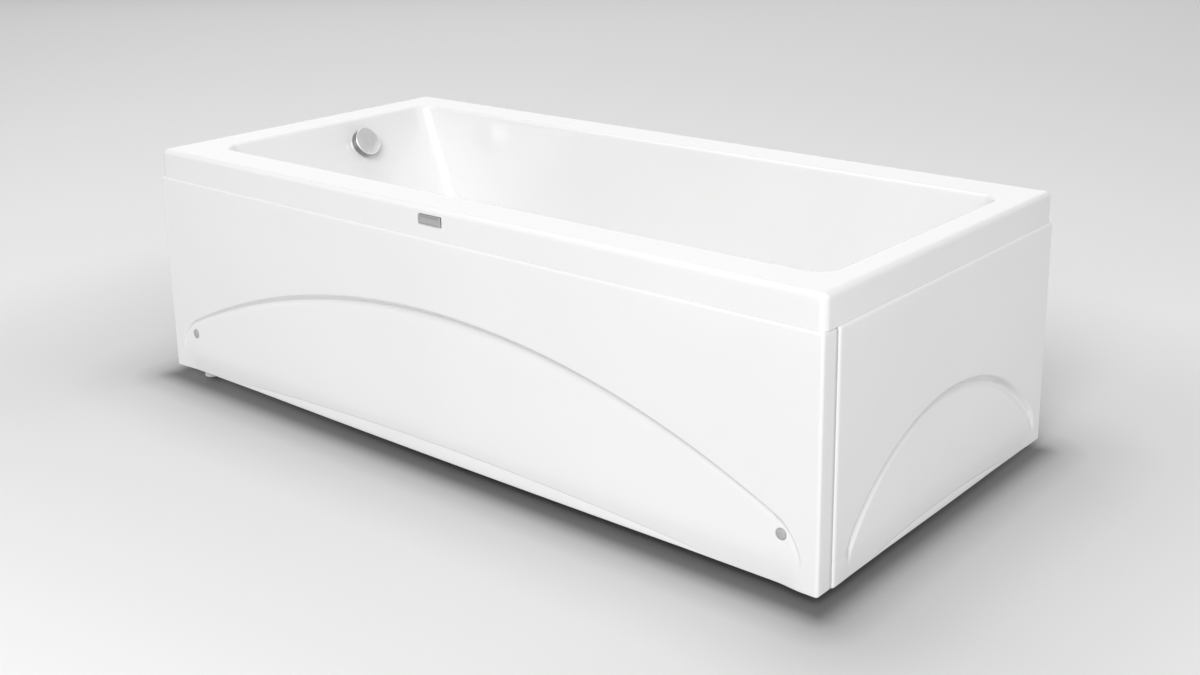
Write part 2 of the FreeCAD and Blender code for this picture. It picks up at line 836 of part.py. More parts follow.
def panel_brackets():
    """Plates on the front ends of the outer cross bars that take the panel screws."""
    boss_back = cap_pocket_depth + panel_sheet_thickness - half_width
    bar_end = -bar_length * half_share - end_cap_thickness
    top = panel_screw_z + bracket_top_above_screw
    half_bracket = bracket_width * half_share
    brackets = []
    for x in panel_screw_places():
        plate = box(x - half_bracket, x + half_bracket, boss_back, boss_back + bracket_plate, bar_under, top)
        foot_block = box(x - half_bracket, x + half_bracket, boss_back + bracket_plate, bar_end,
                         bar_under, bar_under + bracket_plate)
        toe = box(x - half_bracket, x + half_bracket, bar_end - bracket_plate, bar_end, bar_under, rail_under)
        hole = rod(panel_screw_radius + screw_hole_clearance,
                   Vector(x, boss_back - cut_overrun, panel_screw_z), Vector(x, bar_end, panel_screw_z))
        brackets.append(fused([plate, foot_block, toe]).cut(hole))
    return group(brackets)


def end_panel_stays():
    """Bent strips from the right cross bar that hold the end panel's lower flange."""
    flange_top = floor_gap + panel_sheet_thickness + seat_clearance
    bar_face = outer_bar_x + bar_side * half_share
    leg_x = half_length - panel_flange - stay_plate
    arm_z = bar_under + bar_side * half_share
    stays = []
    outer_x = leg_x + stay_plate
    toe_x = outer_x + stay_toe
    profile = [(bar_face, arm_z), (leg_x, arm_z), (leg_x, flange_top), (toe_x, flange_top),
               (toe_x, flange_top + stay_plate), (outer_x, flange_top + stay_plate),
               (outer_x, arm_z + stay_plate), (bar_face, arm_z + stay_plate)]
    for share in stay_place_shares:
        start_y = half_width * share - stay_width * half_share
        corners = [Vector(x, start_y, z) for x, z in profile]
        stays.append(prism(corners, Vector(0, stay_width, 0)))
    return group(stays)


def clip_tab_middle():
    """Distance of a clip's screw behind the panel's outer face."""
    return panel_flange + seat_clearance + clip_plate + clip_tab * half_share


def clip(x):
    """Bent clip under a batten that grips the panel's upper flange, in the panel's own frame."""
    flange_top = panel_height + seat_clearance
    flange_under = panel_height - panel_sheet_thickness - seat_clearance
    tab_under = batten_under - floor_gap - clip_plate
    back = panel_flange + seat_clearance
    far = back + clip_plate
    tip = back - clip_tongue
    tab_end = far + clip_tab
    tab_top = tab_under + clip_plate
    tongue_top = flange_top + clip_plate - seat_clearance
    profile = [(tip, flange_under - clip_plate), (far, flange_under - clip_plate), (far, tab_under),
               (tab_end, tab_under), (tab_end, tab_top), (back, tab_top),
               (back, tongue_top), (tip, tongue_top),
               (tip, flange_top), (back, flange_top), (back, flange_under), (tip, flange_under)]
    corners = [Vector(x - clip_length * half_share, y, z) for y, z in profile]
    hole = disc(clip_screw_radius + screw_hole_clearance, tab_under - cut_overrun, batten_under,
                x, clip_tab_middle())
    return prism(corners, Vector(clip_length, 0, 0)).cut(hole)


def clip_screw(x):
    """Screw of one clip, from below into the batten, in the panel's own frame."""
    tab_under = batten_under - floor_gap - clip_plate
    y = clip_tab_middle()
    return fused([disc(clip_screw_head_radius, tab_under - clip_screw_head_height, tab_under, x, y),
                  disc(clip_screw_radius, tab_under, tab_under + clip_plate + clip_screw_bite, x, y)])


def at_all_clips(make):
    """One clip piece at every clip of both panels."""
    pieces = [front_place(make(half_length * share)) for share in front_clip_place_shares]
    return pieces + [end_place(make(half_width * share)) for share in end_clip_place_shares]


def spokes(count, reach, width, z0, z1):
    """Flat arms from the axis outwards, evenly spaced."""
    arms = []
    for index in range(count):
        arm = box(0, reach, -width * half_share, width * half_share, z0, z1)
        arm.rotate(Vector(0, 0, 0), Vector(0, 0, 1), full_turn_deg * index / count)
        arms.append(arm)
    return arms


def overflow_flange():
    """Ring screwed through the wall, with a spoked bearing for the knob's spindle."""
    wall = (overflow_tail_radius + overflow_tail_bore) * half_share
    plate = ring(overflow_flange_radius, overflow_tail_bore, 0, overflow_flange_thickness)
    tail = ring(overflow_tail_radius, overflow_tail_bore, -overflow_tail_length, 0)
    hub = disc(overflow_hub_radius, -overflow_hub_length, 0)
    arms = spokes(overflow_spokes, wall, overflow_spoke_width, -overflow_hub_length, 0)
    bore = disc(spindle_radius + running_clearance, -overflow_hub_length - cut_overrun, cut_overrun)
    return at_overflow(fused([plate, tail, hub] + arms).cut(bore))


def overflow_gasket():
    """Rubber ring between the wall and the overflow body."""
    back = -sheet - overflow_gasket_thickness
    return at_overflow(ring(overflow_gasket_outer, overflow_hole_radius, back, -sheet))


def overflow_body():
    """Cup behind the wall, with spigots for the hose and the cable."""
    front = -sheet - overflow_gasket_thickness
    back = front - overflow_body_depth
    cup = disc(overflow_body_radius, back, front)
    hose_axis = Vector(0, 0, -hose_outlet_behind)
    cable_axis = Vector(0, cable_outlet_offset, -cable_outlet_behind)
    down = Vector(1, 0, 0)
    cup = fused([cup, rod(hose_crest_radius, hose_axis, hose_axis + down * hose_outlet_reach),
                 rod(cable_spigot_radius, cable_axis, cable_axis + down * cable_outlet_reach)])
    hollow = disc(overflow_body_radius - overflow_body_wall, back + overflow_body_wall,
                  front - overflow_front_thickness)
    mouth = disc(overflow_tail_radius + running_clearance, back + overflow_body_wall, front + cut_overrun)
    socket = disc(spindle_radius + running_clearance, back + overflow_body_wall * half_share, front)
    hose_bore = rod(hose_bore_radius, hose_axis, hose_axis + down * (hose_outlet_reach + cut_overrun))
    cable_bore = rod(cable_spigot_bore, cable_axis, cable_axis + down * (cable_outlet_reach + cut_overrun))
    return at_overflow(cup.cut([hollow, mouth, socket, hose_bore, cable_bore]))


def overflow_knob():
    """Domed turning knob, hollow behind, with a hub on the spindle."""
    top = knob_back + knob_height
    rim_z = top - knob_crown
    crown = disc(knob_radius, knob_back, rim_z).fuse(
        turned([(0, rim_z), (knob_radius, rim_z),
                (knob_radius - knob_crown, top - knob_crown * half_share), (0, top)]))
    hollow = ring(knob_radius - knob_wall, knob_hub_radius, knob_back - cut_overrun, rim_z - knob_wall)
    bore = disc(spindle_radius, knob_back - cut_overrun, knob_back + spindle_in_knob)
    return at_overflow(crown.removeSplitter().cut([hollow, bore]))


def knob_spindle():
    """Shaft from the knob through the flange to the cable drum."""
    return at_overflow(disc(spindle_radius, spindle_back, knob_back + spindle_in_knob))


def cable_drum():
    """Grooved drum on the back of the spindle that pulls the cable."""
    drum = ring(drum_radius, spindle_radius, drum_back, drum_back + drum_thickness)
    middle = drum_back + drum_thickness * half_share
    half_groove = drum_groove_width * half_share
    groove = ring(drum_radius + cut_overrun, drum_radius - drum_groove_depth,
                  middle - half_groove, middle + half_groove)
    return at_overflow(drum.cut(groove))


def drain_point(reach, z, towards):
    """Point at a height, some reach out from the drain's axis towards another point."""
    centre = Vector(drain_x, 0, z)
    level = Vector(towards.x - drain_x, towards.y, 0)
    return centre + level.normalize() * reach


def bent_route(start_local, inlet_z, inlet_reach, bend_radius):
    """Start, bend ends and end of a route that drops along the wall and then runs level to the waste."""
    start = overflow_placement().multVec(start_local)
    down = overflow_placement().Rotation.multVec(Vector(1, 0, 0))
    corner = start + down * ((inlet_z - start.z) / down.z)
    end = drain_point(inlet_reach, inlet_z, corner)
    level = (end - corner).normalize()
    turn = down.getAngle(level)
    tangent = bend_radius * math.tan(turn * half_share)
    bend_start = corner - down * tangent
    bend_end = corner + level * tangent
    return start, bend_start, bend_end, end, down, level, turn


def hose_route():
    """Route of the overflow hose."""
    return bent_route(Vector(hose_outlet_reach, 0, -hose_outlet_behind), hose_inlet_z,
                      hose_inlet_reach, hose_bend_radius)


def cable_route():
    """Route of the Bowden cable."""
    return bent_route(Vector(cable_outlet_reach, cable_outlet_offset, -cable_outlet_behind), cable_inlet_z,
                      cable_inlet_reach, cable_bend_radius)


def route_length(route, bend_radius):
    """Length of a route along its two runs and its bend."""
    start, bend_start, bend_end, end, down, level, turn = route
    return (bend_start - start).Length + bend_radius * turn + (end - bend_end).Length


def route_section(route, bend_radius, distance, radius):
    """Circle across a route at a distance along it, on a steady X axis."""
    start, bend_start, bend_end, end, down, level, turn = route
    side = down.cross(level).normalize()
    first = (bend_start - start).Length
    if distance <= first:
        centre, along = start + down * distance, down
    elif distance <= first + bend_radius * turn:
        angle = (distance - first) / bend_radius
        inward = side.cross(down)
        sideways = inward * (bend_radius * (1 - math.cos(angle)))
        centre = bend_start + sideways + down * (bend_radius * math.sin(angle))
        along = down * math.cos(angle) + inward * math.sin(angle)
    else:
        centre, along = bend_end + level * (distance - first - bend_radius * turn), level
    up = along.cross(side)
    frame = Matrix(side.x, up.x, along.x, centre.x, side.y, up.y, along.y, centre.y,
                   side.z, up.z, along.z, centre.z, 0, 0, 0, 1)
    circle = Part.Circle(Vector(0, 0, 0), Vector(0, 0, 1), radius).toShape()
    circle.Placement = Placement(frame)
    return Part.Wire([circle])


def route_tube(route, bend_radius, radius):
    """Plain round tube along a route of straight runs and one tangent arc."""
    start, bend_start, bend_end, end, down, level, turn = route
    side = down.cross(level).normalize()
    inward = side.cross(down)
    half_turn = turn * half_share
    middle = (bend_start + inward * (bend_radius * (1 - math.cos(half_turn)))
              + down * (bend_radius * math.sin(half_turn)))
    path = Part.Wire([Part.LineSegment(start, bend_start).toShape(),
                      Part.Arc(bend_start, middle, bend_end).toShape(),
                      Part.LineSegment(bend_end, end).toShape()])
    section = route_section(route, bend_radius, 0, radius)
    return path.makePipeShell([section], True, False)


def overflow_hose():
    """Ribbed hose with plain cuffs, from the overflow body to the waste body."""
    route = hose_route()
    length = route_length(route, hose_bend_radius)
    cuff = hose_crest_radius + hose_crest_radius
    ribs = int((length - cuff - cuff) / hose_rib_pitch)
    pitch = (length - cuff - cuff) / ribs
    flank = pitch * hose_rib_flank_share
    crest = pitch * hose_rib_crest_share
    stations = [(0, hose_cuff_radius), (cuff, hose_cuff_radius)]
    for rib in range(ribs):
        begin = cuff + pitch * rib + flank * half_share
        stations += [(begin, hose_root_radius), (begin + flank, hose_crest_radius),
                     (begin + flank + crest, hose_crest_radius),
                     (begin + flank + crest + flank, hose_root_radius)]
    stations += [(length - cuff, hose_cuff_radius), (length, hose_cuff_radius)]
    sections = [route_section(route, hose_bend_radius, place, radius) for place, radius in stations]
    skin = Part.makeLoft(sections, True, True)
    bore = route_tube(route, hose_bend_radius, hose_bore_radius)
    return skin.cut(bore)


def bowden_cable():
    """Cable sheath from the overflow body to the waste body."""
    route = cable_route()
    return route_tube(route, cable_bend_radius, cable_radius)


def hose_nuts():
    """Two slip nuts over the joints at the hose's ends."""
    start, bend_start, bend_end, end, down, level, turn = hose_route()
    nuts = []
    for centre, along in ((start, down), (end, level)):
        half_nut = along * (hose_nut_length * half_share)
        nut = regular_prism(nut_sides, hose_nut_outer, 0, hose_nut_length)
        nut = nut.cut(disc(hose_crest_radius + seat_clearance, -cut_overrun, hose_nut_length + cut_overrun))
        nut.Placement = Placement(centre - half_nut, Rotation(Vector(0, 0, 1), along))
        nuts.append(nut)
    return group(nuts)


def drain_flange():
    """Chrome ring in the floor recess with a threaded tail and a guide for the plug's stem."""
    profile = [(drain_mouth_radius, drain_seat_top), (drain_seat_radius, drain_seat_top),
               (drain_seat_radius, recess_top), (drain_tail_radius, recess_top),
               (drain_tail_radius, drain_tail_end),
               (drain_bore_radius, drain_tail_end), (drain_bore_radius, drain_seat_top - drain_mouth_depth)]
    guide_low = drain_tail_end + guide_above_tail_end
    wall = (drain_tail_radius + drain_bore_radius) * half_share
    pieces = [turned(profile), disc(guide_radius, guide_low, guide_low + guide_length)]
    pieces += spokes(guide_spokes, wall, guide_spoke_width, guide_low, guide_low + guide_length)
    stem_bore = disc(plug_stem_radius + running_clearance, drain_tail_end - cut_overrun, recess_top)
    flange = fused(pieces).cut(stem_bore)
    flange.translate(Vector(drain_x, 0, 0))
    return flange


def drain_gasket():
    """Rubber ring between the shell and the waste body."""
    return ring(waste_flange_radius, drain_hole_radius, waste_top, recess_under, drain_x)


def waste_body():
    """Cup under the drain with its outlet, the hose and cable spigots and the rocker's lugs."""
    centre = Vector(drain_x, 0, 0)
    bore = waste_radius - waste_wall
    outlet_axis = centre + Vector(0, 0, waste_outlet_z)
    outlet_end = outlet_axis + Vector(0, waste_outlet_reach, 0)
    hose_axis = centre + Vector(0, 0, hose_inlet_z)
    hose_end = hose_route()[3]
    cable_axis = centre + Vector(0, 0, cable_inlet_z)
    cable_end = cable_route()[3]
    solid = fused([disc(waste_radius, waste_floor, waste_top, drain_x),
                   disc(waste_flange_radius, waste_top - waste_flange_thickness, waste_top, drain_x),
                   rod(waste_outlet_radius, outlet_axis, outlet_end),
                   rod(hose_crest_radius, hose_axis, hose_end),
                   rod(cable_spigot_radius, cable_axis, cable_end)])
    past_outlet = outlet_end + Vector(0, cut_overrun, 0)
    past_hose = hose_end + (hose_end - hose_axis).normalize() * cut_overrun
    past_cable = cable_end + (cable_end - cable_axis).normalize() * cut_overrun
    solid = solid.cut([disc(bore, waste_floor + waste_wall, waste_top - waste_collar_length, drain_x),
                       disc(drain_tail_radius + waste_thread_clearance, waste_floor + waste_wall,
                            waste_top + cut_overrun, drain_x),
                       rod(waste_outlet_radius - waste_wall, outlet_axis, past_outlet),
                       rod(hose_bore_radius, hose_axis, past_hose),
                       rod(cable_spigot_bore, cable_axis, past_cable)])
    return fused([solid] + rocker_lugs())


def rocker_lugs():
    """Two drilled lugs on the inner wall of the waste body that carry the rocker's pin."""
    near = rocker_width * half_share + rocker_lug_gap
    half_lug = rocker_lug_height * half_share
    lugs = []
    for side in (-1, 1):
        y0, y1 = sorted((side * near, side * (near + rocker_lug_thickness)))
        lug = box(rocker_pivot_x - rocker_lug_reach, drain_x + waste_radius - waste_wall * half_share, y0, y1,
                  rocker_pivot_z - half_lug, rocker_pivot_z + half_lug)
        hole = rod(rocker_pin_radius + running_clearance,
                   Vector(rocker_pivot_x, y0 - cut_overrun, rocker_pivot_z),
                   Vector(rocker_pivot_x, y1 + cut_overrun, rocker_pivot_z))
        lugs.append(lug.cut(hole))
    return lugs


def rocker_pin():
    """Pin through the lugs and the rocker."""
    reach = rocker_width * half_share + rocker_lug_gap + rocker_lug_thickness + rocker_pin_overhang
    return rod(rocker_pin_radius, Vector(rocker_pivot_x, -reach, rocker_pivot_z),
               Vector(rocker_pivot_x, reach, rocker_pivot_z))


def lift_rocker():
    """Bell crank: a round tip under the plug's stem and a hanging arm for the cable."""
    half_rocker = rocker_width * half_share
    half_bar = rocker_bar_height * half_share
    pivot = Vector(rocker_pivot_x, -half_rocker, rocker_pivot_z)
    across = Vector(0, rocker_width, 0)
    tip = Vector(drain_x, -half_rocker, rocker_pivot_z)
    arm = box(drain_x, rocker_pivot_x, -half_rocker, half_rocker,
              rocker_pivot_z - half_bar, rocker_pivot_z + half_bar)
    pull = box(rocker_pivot_x - half_bar, rocker_pivot_x + half_bar, -half_rocker, half_rocker,
               rocker_pivot_z - rocker_pull_arm, rocker_pivot_z)
    hub = rod(rocker_hub_radius, pivot, pivot + across)
    crank = fused([hub, rod(rocker_tip_radius, tip, tip + across), arm, pull])
    hole = rod(rocker_pin_radius + running_clearance, pivot - across, pivot + across + across)
    return crank.cut(hole)


def drain_plug():
    """Domed plug with a boss for its seal and a long stem."""
    edge = plug_under + plug_edge_height
    crown = edge + plug_crown_height * half_share
    profile = [(0, plug_under - plug_seal_height), (plug_boss_radius, plug_under - plug_seal_height),
               (plug_boss_radius, plug_under), (plug_radius, plug_under), (plug_radius, edge),
               (plug_radius * half_share, crown), (0, crown)]
    plug = fused([turned(profile), disc(plug_stem_radius, plug_stem_end, plug_under)])
    plug.translate(Vector(drain_x, 0, 0))
    return plug


def plug_seal():
    """Rubber ring under the plug."""
    return ring(plug_seal_outer, plug_seal_inner, plug_under - plug_seal_height, plug_under, drain_x)


def trap_body():
    """Drum trap with a baffle, an inlet socket and an outlet spigot behind a stop collar."""
    bore = trap_radius - trap_wall
    inlet_axis = Vector(drain_x, trap_y, waste_outlet_z)
    socket_bore = waste_outlet_radius + trap_socket_clearance
    socket_end = Vector(drain_x, waste_outlet_reach - trap_socket_overlap, waste_outlet_z)
    outlet_axis = Vector(drain_x, trap_y, trap_outlet_height)
    collar_start = outlet_axis + Vector(0, trap_radius + trap_outlet_neck, 0)
    collar_end = collar_start + Vector(0, trap_collar_length, 0)
    outlet_end = collar_end + Vector(0, trap_outlet_reach, 0)
    drum = fused([disc(trap_radius, trap_floor_height, trap_top_height, drain_x, trap_y),
                  rod(socket_bore + trap_wall, inlet_axis, socket_end),
                  rod(trap_outlet_radius, outlet_axis, outlet_end),
                  rod(trap_collar_radius, collar_start, collar_end)])
    well_floor = trap_floor_height + trap_wall
    drum = drum.cut([disc(bore, well_floor, trap_top_height + cut_overrun, drain_x, trap_y),
                     rod(socket_bore, inlet_axis, socket_end - Vector(0, cut_overrun, 0)),
                     rod(trap_outlet_bore, outlet_axis, outlet_end + Vector(0, cut_overrun, 0))])
    half_baffle = trap_baffle_thickness * half_share
    plate = box(drain_x - trap_radius, drain_x + trap_radius, trap_y - half_baffle, trap_y + half_baffle,
                well_floor + trap_baffle_gap, trap_top_height)
    round_radius = trap_radius - trap_wall * half_share
    round_space = disc(round_radius, trap_floor_height, trap_top_height, drain_x, trap_y)
    return fused([drum, plate.common(round_space)])


def trap_lid():
    """Screwed lid of the trap with a bar to turn it by."""
    lid_radius = trap_radius + seat_clearance + trap_wall
    under = trap_top_height
    skirt = ring(lid_radius, trap_radius + seat_clearance, under - trap_lid_skirt, under, drain_x, trap_y)
    cover = disc(lid_radius, under, under + trap_lid_thickness, drain_x, trap_y)
    half_bar = trap_lid_bar_width * half_share
    bar = box(drain_x - trap_radius * half_share, drain_x + trap_radius * half_share, trap_y - half_bar,
              trap_y + half_bar, under + trap_lid_thickness, under + trap_lid_thickness + trap_lid_bar_height)
    return fused([skirt, cover, bar])


def trap_nut():
    """Slip nut over the joint between the waste body and the trap."""
    inner = waste_outlet_radius + trap_socket_clearance + trap_wall + seat_clearance
    nut = regular_prism(nut_sides, inner + trap_nut_wall, 0, trap_nut_length)
    nut = nut.cut(disc(inner, -cut_overrun, trap_nut_length + cut_overrun))
    start = Vector(drain_x, waste_outlet_reach - trap_socket_overlap - trap_nut_lead, waste_outlet_z)
    nut.Placement = Placement(start, Rotation(Vector(0, 0, 1), Vector(0, 1, 0)))
    return nut


def all_nodes():
    """Every node of the bath by name."""
    nodes = {
        "bath_shell": bath_shell(),
        "badge_plate": badge_block(0),
        "base_board": board_with_screw_holes(),
        "front_panel": front_panel(),
        "end_panel": end_panel(),
        "panel_screws": panel_screws(),
        "screw_caps": screw_caps(),
        "panel_brackets": panel_brackets(),
        "end_panel_stays": end_panel_stays(),
        "panel_clips": group(at_all_clips(clip)),
        "clip_screws": group(at_all_clips(clip_screw)),
        "front_rail": rail(-1),
        "rear_rail": rail(1),
        "tube_end_caps": tube_end_caps(),
        "frame_screws": frame_screws(),
        "board_screws": board_screws(),
        "weld_nuts": leg_nuts(rail_under, rail_under + weld_nut_height),
        "lock_nuts": leg_nuts(bar_under - lock_nut_height, bar_under),
        "overflow_flange": overflow_flange(),
        "overflow_gasket": overflow_gasket(),
        "overflow_body": overflow_body(),
        "overflow_knob": overflow_knob(),
        "knob_spindle": knob_spindle(),
        "cable_drum": cable_drum(),
        "overflow_hose": overflow_hose(),
        "bowden_cable": bowden_cable(),
        "hose_nuts": hose_nuts(),
        "drain_flange": drain_flange(),
        "drain_gasket": drain_gasket(),
        "waste_body": waste_body(),
        "rocker_pin": rocker_pin(),
        "lift_rocker": lift_rocker(),
        "drain_plug": drain_plug(),
        "plug_seal": plug_seal(),
        "trap_body": trap_body(),
        "trap_lid": trap_lid(),
        "trap_nut": trap_nut(),
    }
    nodes.update(drilled_battens())
    for name, x in bar_places.items():
        nodes[name + "_cross_bar"] = cross_bar(name)
        for side_name, side in (("front", -1), ("rear", 1)):
            nodes[name + "_" + side_name + "_leg_rod"] = leg_rod(x, side * leg_ys[name])
            nodes[name + "_" + side_name + "_foot"] = foot(x, side * leg_ys[name])
            if name != "middle":
                nodes[name + "_" + side_name + "_post"] = post(x, side)
    return nodes


def drilled_battens():
    """Battens with the holes that the clip screws cut."""
    screws = at_all_clips(clip_screw)
    return {name: batten.cut(screws) for name, batten in battens().items()}


os.makedirs("parts", exist_ok=True)
for node_name, node_shape in all_nodes().items():
    node_shape.exportStep(os.path.join("parts", node_name + ".step"))
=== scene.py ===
import json
import math
from collections import namedtuple
import bmesh
import bpy
import numpy as np
from mathutils import Matrix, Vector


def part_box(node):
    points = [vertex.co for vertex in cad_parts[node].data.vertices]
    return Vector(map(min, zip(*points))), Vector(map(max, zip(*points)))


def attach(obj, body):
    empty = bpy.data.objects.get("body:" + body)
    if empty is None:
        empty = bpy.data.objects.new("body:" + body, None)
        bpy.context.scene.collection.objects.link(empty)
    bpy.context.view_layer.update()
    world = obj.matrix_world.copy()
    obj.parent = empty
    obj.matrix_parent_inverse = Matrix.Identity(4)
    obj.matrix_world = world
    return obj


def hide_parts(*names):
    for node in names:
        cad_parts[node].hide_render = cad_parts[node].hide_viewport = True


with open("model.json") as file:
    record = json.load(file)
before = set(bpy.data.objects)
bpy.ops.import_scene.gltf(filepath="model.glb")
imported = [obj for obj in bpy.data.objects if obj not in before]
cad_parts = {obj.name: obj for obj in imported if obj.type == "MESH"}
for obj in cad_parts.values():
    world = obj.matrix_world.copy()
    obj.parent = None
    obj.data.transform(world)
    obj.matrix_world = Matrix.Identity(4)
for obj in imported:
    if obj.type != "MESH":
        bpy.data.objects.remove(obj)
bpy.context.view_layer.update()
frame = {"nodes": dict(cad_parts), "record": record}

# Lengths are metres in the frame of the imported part: +X along the bath away from the
# overflow end, +Y towards the wall behind it, +Z up, origin on the floor under its middle.
# Values with one entry per side go in the order front, right, back, left.

# Outer sizes, read from the frame
half_length, half_width, rim_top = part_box("bath_shell")[1]
panel_low, panel_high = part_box("front_panel")
panel_bottom = panel_low[2]
panel_height = panel_high[2] - panel_bottom

# Bath shell
skirt_height = 0.0606
skirt_low = rim_top - skirt_height
skirt_setback = np.array([0.003, 0.003, 0.0, 0.003])
skirt_edge_radius = 0.0008
skirt_row_low = 0.001
skirt_row_high = 0.002
acrylic_thickness = 0.003
shell_thickness = 0.005
backing_skirt_gap = 0.022
backing_hole_gap = 0.012
rim_corner_radius = 0.014
rim_edge_radius = 0.011
rim_roll_radius = 0.009
rim_widths = np.array([0.095, 0.058, 0.100, 0.100])
front_row_places = np.array([0.2, 0.4, 0.65, 0.78])
wall_leans = np.radians([7.0, 27.0, 7.0, 27.0])
basin_depth = 0.370
mouth_corner_radius = 0.042
floor_corner_radius = 0.052
floor_fillet_radius = 0.045
deck_shares = np.array([0.04, 0.3, 0.7, 0.97])
wall_shares = np.array([0.02, 0.2, 0.4, 0.6, 0.8, 0.98])
floor_shares = np.array([0.04, 0.3, 0.6, 0.9])

# Drain and its plug
plug_low, plug_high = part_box("drain_plug")
drain_centre = np.array([(plug_low[0] + plug_high[0]) / 2, 0.0])
drain_recess_radius = 0.046
drain_recess_depth = 0.006
drain_hole_radius = 0.025
recess_edge_radius = 0.003
recess_seat = 0.004
plug_cover = 0.004
plug_side = 0.0022
plug_stem_radius = 0.003
plug_boss_radius = 0.0115
plug_boss_depth = 0.0035
plug_crown_share = 0.55
plug_crown_fall = 0.0004
plug_rounds = (0.0008, 0.0008, 0.0005, 0.0005, 0.0007, 0.0016, 0.006)

# Plain plate on the front skirt, and its pocket
plate_low, plate_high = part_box("badge_plate")
plate_edge = 0.0006
plate_corner_radius = 0.002
plate_least_corner = 0.0006
plate_corner_share = 0.6
plate_line_insets = (0.0014, 0.0016, 0.0021, 0.0023, 0.005)
plate_line_depths = np.array([0.0, 0.00025, 0.00025, 0.0, 0.0])
pocket_wall = 0.0004
pocket_rows = pocket_wall * np.array([0.0, 1.0, 4.0])
pocket_row_room = 0.005
badge_half = plate_high[0] + pocket_wall
badge_low = plate_low[2] - pocket_wall
badge_high = plate_high[2] + pocket_wall
badge_thickness = plate_high[1] - plate_low[1]
touch = 1e-5
merge_reach = 1e-6
flat_reach = 1e-7

# Panels
sheet_thickness = 0.004
panel_flange = 0.014
corner_return = 0.040
return_tuck = 0.0018
return_setback = 0.003
corner_radius = 0.006
panel_edge_radius = 0.003
panel_top_radius = 0.008
panel_near_radius = 0.007
panel_gap = 0.0006
end_panel_start = corner_return + panel_gap - half_width

# Arched fields of the panels, with heights above the panel's lower edge
Field = namedtuple("Field", "start end shoulder apex depth groove low_run high_run strip_depth "
                            "lip_rise lip_margin")
front_field = Field(start=0.031 - half_length, end=half_length - 0.034, shoulder=0.097, apex=0.301,
                    depth=0.018, groove=0.0008, low_run=0.004, high_run=0.017, strip_depth=0.005,
                    lip_rise=0.031, lip_margin=0.120)
end_field = Field(start=0.080 - half_width, end=half_width - 0.028, shoulder=0.064, apex=0.228,
                  depth=0.0105, groove=0.004, low_run=0.014, high_run=0.016, strip_depth=0.001,
                  lip_rise=0.020, lip_margin=0.070)
field_lower_edge = 0.046
field_hinge = 0.012
field_hinge_share = 0.25
field_corner_height = 0.006
field_corner_share = 0.9
field_fade = 0.02
field_row_margin = 0.006
field_dense_run = 0.07
groove_return = 0.012
groove_fade = 0.05
step_reach = 0.0005
step_steepest = 2.0
step_least_run = 0.0005
step_height_share = 0.8
step_row_share = 0.12
strip_lead = 0.03
strip_start_fade = 0.07
strip_end_fade = 0.05
lip_step_run = 0.0022
lip_row_shares = (1.5, 0.5)
lip_recess = 0.0016
lip_flare = 0.12
lip_least_height = 0.004
lip_fade = 0.01
face_row_least = 0.0002
face_row_gap = 0.0005
face_row_margin = 0.002
face_row_counts = (3, 6, 4, 9, 10, 26, 10)

# Screw caps and their pockets in the front panel
caps_low, caps_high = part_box("screw_caps")
cap_rise = (caps_low[2] + caps_high[2]) / 2 - panel_bottom
cap_radius = (caps_high[2] - caps_low[2]) / 2
cap_places = (caps_low[0] + cap_radius, caps_high[0] - cap_radius)
cap_side = 0.0026
cap_shoulder = 0.0039
cap_crown = 0.004
cap_crown_share = 0.55
cap_rounds = (0.0003, 0.0012, 0.003)
pocket_radius = 0.0102
pocket_depth = 0.0055
pocket_edge_radius = 0.0012
pocket_window_share = 1.2
pocket_window_top_share = 1.12
pocket_ring_shares = np.array([0.35, 0.7, 1.0])
pocket_floor_share = 0.9

# Overflow on the left end wall of the basin, and its knob, measured from the wall
wall_normal = np.array([math.cos(wall_leans[3]), 0.0, math.sin(wall_leans[3])])
wall_down = np.array([math.sin(wall_leans[3]), 0.0, -math.cos(wall_leans[3])])
across = np.array([0.0, 1.0, 0.0])
overflow_drop = 0.055
overflow_offset = 0.070
overflow_inset = rim_widths[3] + overflow_drop * math.tan(wall_leans[3])
overflow_origin = np.array([overflow_inset - half_length, overflow_offset, rim_top - overflow_drop])
overflow_axes = np.array([wall_down, across, wall_normal])
knob_radius = 0.0335
knob_bore_radius = 0.0305
knob_low = 0.006
knob_web = 0.0190
knob_edge = 0.0234
knob_crown = 0.028
knob_dome_radius = 0.140
knob_dome_reach = 0.0325
knob_rounds = (0.0005, 0.0005, 0.001, 0.0004)
knob_finish_run = 0.001

# Levelling legs
foot_edge = 0.006
foot_cone_top = 0.0128
foot_collar_radius = 0.0112
foot_socket_radius = 0.0062
foot_rounds = (0.0035, 0.002, 0.0015, 0.001, 0.0006, 0.0004)
thread_pitch = 0.00175
thread_depth = 0.00085
thread_end = 0.0006
thread_rows = 6
thread_segments = 24

# Frame tubes, board and battens
frame_tubes = (("front_rail", "rear_rail"),
               ("left_cross_bar", "middle_cross_bar", "right_cross_bar"),
               ("left_front_post", "left_rear_post", "right_front_post", "right_rear_post"))
tube_corner_radius = 0.003
tube_wall = 0.002
tube_bore_radius = 0.0012
tube_end_run = 0.0004
tube_end_inset = 0.0003
board_edge = 0.0008
batten_edge = 0.0012
sawn_corner_share = 1.2
sawn_pieces = {"base_board": (0, "chipboard", board_edge),
               "front_batten": (0, "batten_x", batten_edge),
               "rear_batten": (0, "batten_x", batten_edge),
               "left_batten": (1, "batten_y", batten_edge),
               "right_batten": (1, "batten_y", batten_edge)}

